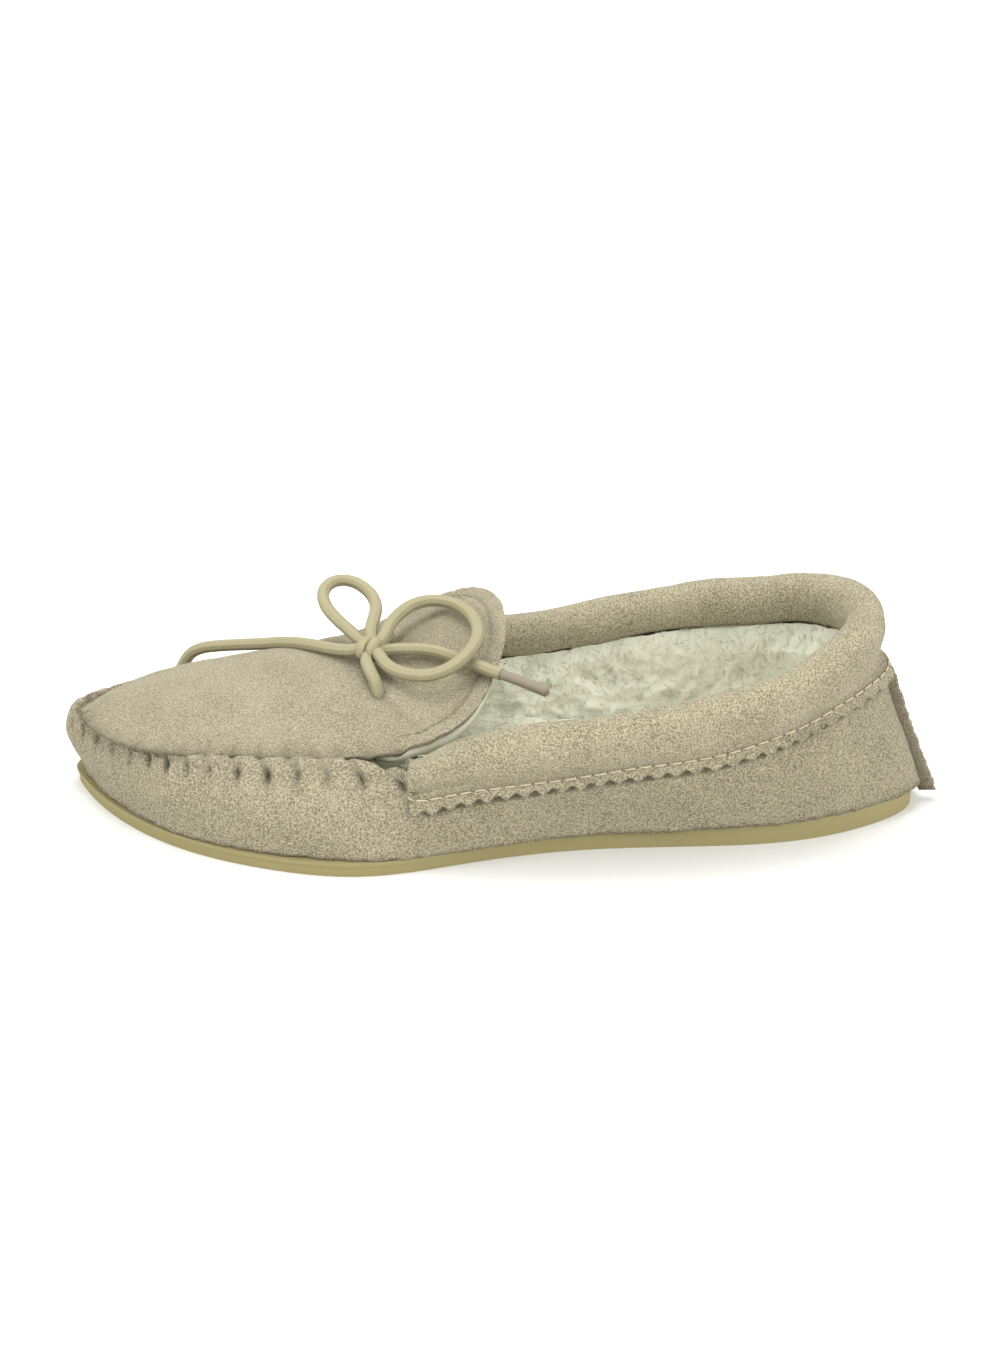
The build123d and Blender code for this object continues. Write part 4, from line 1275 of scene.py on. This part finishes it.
class BuildLining(bpy.types.Operator):
    """Grows the wool of the sides and the footbed"""
    bl_idname = "slipper.build_lining"
    bl_label = "Wool lining"

    def execute(self, context):
        lining, bed = tree_of("side_lining"), tree_of("insole_pile")
        wrap = tree_of("suede_wrap")
        angles = even_angles(wrap, 0.017, 1.15 * MM)
        bed_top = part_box("insole_pile")[1].z
        tops = softened([edge_height(lining, a, 0.02, 0.06) for a in angles], 8, True)
        feet = np.array([tuple(from_outside(wrap, a, 0.02)) for a in angles])
        by_tongue = (feet[:, 1] < 0) & (feet[:, 0] > -46 * MM) & (feet[:, 0] < -20 * MM)
        tops = softened(np.where(by_tongue, np.maximum(tops, 28.6 * MM), tops), 4, True)
        rows = []
        for share in np.linspace(0, 1, 30):
            rows.append(contour(lining, angles, 11 * MM + (tops - 11.5 * MM) * share, from_inside))
        ways = np.array([tuple(heading(a)[1]) for a in angles])
        under_ridge = shape().gathers(rows[-1][:, 0], rows[-1][:, 1])[2]
        rim = rows[-1] + ways * MM * (3.0 - 2.0 * under_ridge)[:, None]
        rim[:, 2] += 7.5 * MM * (1 - under_ridge) - 2.5 * MM * under_ridge
        mid = (rows[-1] + rim) / 2 - ways * 0.6 * MM
        grid = np.array([*rows, mid, rim])
        grid = grid - ways[None] * self.tufts(grid)[:, :, None]
        side = grid_piece("side_wool", grid[::-1], "wool_pile", True)
        keep(side, "shoe", "wool_pile", "side_lining")
        pad = self.footbed(bed, angles, bed_top)
        keep(pad, "shoe", "wool_pile", "insole_pile", "insole_cushion")
        tree = scatter_tree()
        strand = self.strand()
        for name, source in (("side_wool_strands", side), ("footbed_strands", pad)):
            piece = through_tree(name, source.data, tree, {
                "Density": sizes().strand_density, "Strand": strand, "Lean": 0.9,
                "Material": material("wool_strand")})
            keep(piece, "shoe", "wool_pile")
        bpy.data.objects.remove(strand)
        return {"FINISHED"}

    def strand(self):
        """A curved, tapering fibre of three sides, for the scatter to repeat."""
        corners = []
        for x, y, z, radius in (
                (0, 0, -0.3, 0.13), (0.5, 0, 0.9, 0.12), (1.4, 0.3, 1.6, 0.10), (2.5, 0.9, 1.7, 0.04)):
            for k in range(3):
                turn = 2 * math.pi * k / 3
                round_y, round_z = radius * math.cos(turn), radius * math.sin(turn)
                corners.append((x * MM, (y + round_y) * MM, (z + round_z) * MM))
        return mesh_piece("strand_shape", corners, grid_faces(4, 3, True), "wool_strand")

    def tufts(self, grid):
        """How far the pile stands out: big clumps, then curls."""
        clumps = field(grid, 13 * MM, 2.5)
        curls = np.abs(field(grid, 5.5 * MM, 7.5))
        fine = field(grid, 2.2 * MM, 5.5)
        return sizes().wool * (0.35 + 0.55 * clumps - 0.6 * curls + 0.22 * fine)

    def footbed(self, bed, angles, bed_top):
        """The pile underfoot, from its edge in to the spine."""
        rows = []
        for share in np.linspace(1.0, 0.03, 46):
            line = []
            for angle in angles[::2]:
                edge = from_outside(bed, angle, bed_top - 4 * MM)
                start = heading(angle)[0]
                flat = Vector((edge.x, edge.y, 0)) if edge else start
                spot = Vector((start.x, start.y, 0)).lerp(flat, share * 1.02)
                hit = bed.ray_cast(spot + Vector((0, 0, 0.06)), Vector((0, 0, -1)), 0.06)[0]
                line.append((spot.x, spot.y, hit.z if hit else bed_top - 1.2 * MM))
            rows.append(softened(line, 1, True))
        grid = np.array(rows)
        grid[:, :, 2] += self.tufts(grid) * 0.8
        return grid_piece("footbed_wool", grid, "wool_pile", True)


class BuildLace(bpy.types.Operator):
    """Ties the braided lace in its bow"""
    bl_idname = "slipper.build_lace"
    bl_label = "Lace"

    def execute(self, context):
        over = (KNOT[0] - 0.4 * MM, KNOT[1] + 0.4 * MM, KNOT[2] + 1.0 * MM)
        under = (KNOT[0] + 0.6 * MM, KNOT[1] - 0.2 * MM, KNOT[2] - 0.6 * MM)
        near = [*NEAR_STRAND, under, *REAR_LOOP, over, *FRONT_END]
        far = [*FAR_STRAND, over, *FRONT_LOOP, under, *REAR_END]
        for name, route, nodes, tip_node in (
            ("lace_near_cord", near, ("lace_near_strand", "lace_rear_loop_start", "lace_rear_loop",
                                      "lace_rear_loop_return", "lace_front_end"), "lace_front_tip"),
            ("lace_far_cord", far, ("lace_far_strand", "lace_front_loop",
                                    "lace_rear_end_start", "lace_rear_end"), "lace_rear_tip"),
        ):
            line = route_line(name, route, 0.3 * MM)
            cord = tube(name, line, sizes().lace / 2, "lace_braid", sides=32, relief=0.30 * MM)
            tip = self.tip(name + "_tip", line)
            bend_with_tongue(cord, "lace_braid", *nodes)
            body = "shoe" if name == "lace_near_cord" else "tongue"
            keep(tip, body, "lace_tip", tip_node)
        knot = self.knot()
        keep(knot, "shoe", "lace_braid", "lace_knot")
        paint("lace_under_strand", "thread_dark")
        return {"FINISHED"}

    def tip(self, name, line):
        """The stiffened end, a little thinner than the braid."""
        way = line[-1] - line[-4]
        way /= np.linalg.norm(way)
        count = 26
        run = np.linspace(-0.8 * MM, sizes().tip_length, count)
        points = line[-1][None] + way[None] * run[:, None]
        points[:, 2] += -0.5 * MM * (run / sizes().tip_length).clip(0) ** 2
        return tube(name, points, sizes().tip / 2, "lace_tip", sides=16, taper=0.7 * MM)

    def knot(self):
        """One and a half turns of lace round the crossing."""
        centre = np.array(KNOT) + np.array((0, 0, -0.3 * MM))
        axis = np.array((0.80, -0.35, 0.15))
        axis /= np.linalg.norm(axis)
        side = np.cross(axis, (0, 0, 1.0))
        side /= np.linalg.norm(side)
        third = np.cross(side, axis)
        points = []
        for turn in np.radians(np.arange(-40, 470, 7)):
            climb = (math.degrees(turn) - 215) / 510 * 5.2 * MM
            coil = side * 2.7 * MM * math.cos(turn) + third * 2.35 * MM * math.sin(turn)
            points.append(centre + axis * climb + coil)
        return tube("bow_knot", evenly(np.array(points), 0.3 * MM), 1.8 * MM, "lace_braid",
                    sides=32, relief=0.28 * MM, taper=1.2 * MM)


def route_line(name, route, spacing):
    """Evenly spaced points read from the route's own NURBS line."""
    curve = bpy.data.curves.new(name + "_route", "CURVE")
    curve.dimensions = "3D"
    curve.resolution_u = 24
    spline = curve.splines.new("NURBS")
    spline.points.add(len(route) - 1)
    for point, place in zip(spline.points, route):
        point.co = (*place, 1)
    spline.order_u = 3
    spline.use_endpoint_u = True
    holder = bpy.data.objects.new(name + "_route", curve)
    bpy.context.scene.collection.objects.link(holder)
    mesh = bpy.data.meshes.new_from_object(holder.evaluated_get(bpy.context.evaluated_depsgraph_get()))
    points = np.array([tuple(v.co) for v in mesh.vertices])
    bpy.data.objects.remove(holder)
    bpy.data.meshes.remove(mesh)
    return evenly(points, spacing)


def evenly(points, spacing):
    """The same line with points at an even spacing."""
    run = distances(points)
    places = np.linspace(0, run[-1], max(3, int(run[-1] / spacing)))
    return np.stack([np.interp(places, run, points[:, axis]) for axis in range(3)], 1)


def smooth_line(points, count):
    """A few given points, softened into an even line."""
    points = evenly(np.array([tuple(p) for p in points]), 0.3 * MM)
    return evenly(softened(points, 10), distances(points)[-1] / count)


def joined(name, pieces):
    """Several meshes as one piece."""
    corners, faces, base = [], [], 0
    for piece in pieces:
        corners += [tuple(v.co) for v in piece.data.vertices]
        faces += [[base + i for i in face.vertices] for face in piece.data.polygons]
        base = len(corners)
    stuff = pieces[0].data.materials[0].name
    shades = [p.data.attributes["crease"] for p in pieces if "crease" in p.data.attributes]
    shades = [value.value for layer in shades for value in layer.data]
    for piece in pieces:
        bpy.data.objects.remove(piece)
    whole = mesh_piece(name, corners, faces, stuff)
    if shades:
        paint_shade(whole, np.array(shades))
    return whole


class BuildStage(bpy.types.Operator):
    """Sets the floor, the lights and the camera"""
    bl_idname = "slipper.build_stage"
    bl_label = "Stage"

    def execute(self, context):
        rows = []
        for y, z in ((-3, 0), (1.6, 0), (2.1, 0.05), (2.5, 0.22), (2.75, 0.5), (2.9, 1.0), (3, 2.6)):
            rows.append([(-5, y, z), (5, y, z)])
        floor = grid_piece("floor", np.array(rows), "floor", False)
        world = bpy.data.worlds.new("studio")
        world.use_nodes = True
        sky = world.node_tree.nodes["Background"]
        sky.inputs["Color"].default_value = (1.0, 1.0, 0.985, 1)
        sky.inputs["Strength"].default_value = 0.8
        context.scene.world = world
        self.light("softbox_top", (-0.1, 0.1, 1.1), 0.6, 9.0)
        self.light("softbox_right", (1.0, -0.9, 0.75), 0.6, 13.5)
        self.light("softbox_left", (-1.1, -0.5, 0.7), 0.6, 9.0)
        camera_data = bpy.data.cameras.new("camera")
        camera_data.lens = CAMERA_LENS
        camera_data.sensor_width = 36
        camera = bpy.data.objects.new("camera", camera_data)
        camera.location = CAMERA_PLACE
        camera.rotation_euler = (math.radians(90 - CAMERA_TILT), 0, 0)
        context.scene.collection.objects.link(camera)
        context.scene.camera = camera
        context.scene.view_settings.view_transform = "Standard"
        return {"FINISHED"}

    def light(self, name, place, size, power):
        data = bpy.data.lights.new(name, "AREA")
        data.size = size
        data.energy = power
        lamp = bpy.data.objects.new(name, data)
        lamp.location = place
        lamp.rotation_euler = (-Vector(place)).to_track_quat("-Z", "Y").to_euler()
        bpy.context.scene.collection.objects.link(lamp)


PIECE_OPERATORS = (
    BuildStage, BuildLace, BuildSole, BuildWrap, BuildApron, BuildWhipStitches, BuildCollar, BuildHeelFin,
    BuildLining,
)


class SlipperPanel(bpy.types.Panel):
    bl_idname = "VIEW3D_PT_slipper"
    bl_label = "Moccasin slipper"
    bl_space_type = "VIEW_3D"
    bl_region_type = "UI"
    bl_category = "Slipper"

    def draw(self, context):
        for group in (context.scene.moccasin_sizes, context.scene.moccasin_colours):
            for key in group.bl_rna.properties.keys():
                if key not in ("rna_type", "name"):
                    self.layout.prop(group, key)
        for operator in PIECE_OPERATORS:
            self.layout.operator(operator.bl_idname)


CLASSES = (MoccasinSizes, MoccasinColours, *PIECE_OPERATORS, SlipperPanel)


def register():
    for item in CLASSES:
        bpy.utils.register_class(item)
    bpy.types.Scene.moccasin_sizes = bpy.props.PointerProperty(type=MoccasinSizes)
    bpy.types.Scene.moccasin_colours = bpy.props.PointerProperty(type=MoccasinColours)


def unregister():
    del bpy.types.Scene.moccasin_sizes
    del bpy.types.Scene.moccasin_colours
    for item in reversed(CLASSES):
        bpy.utils.unregister_class(item)


def main():
    register()
    build_materials()
    for operator in PIECE_OPERATORS:
        group, name = operator.bl_idname.split(".")
        getattr(getattr(bpy.ops, group), name)()


if __name__ == "__main__":
    main()
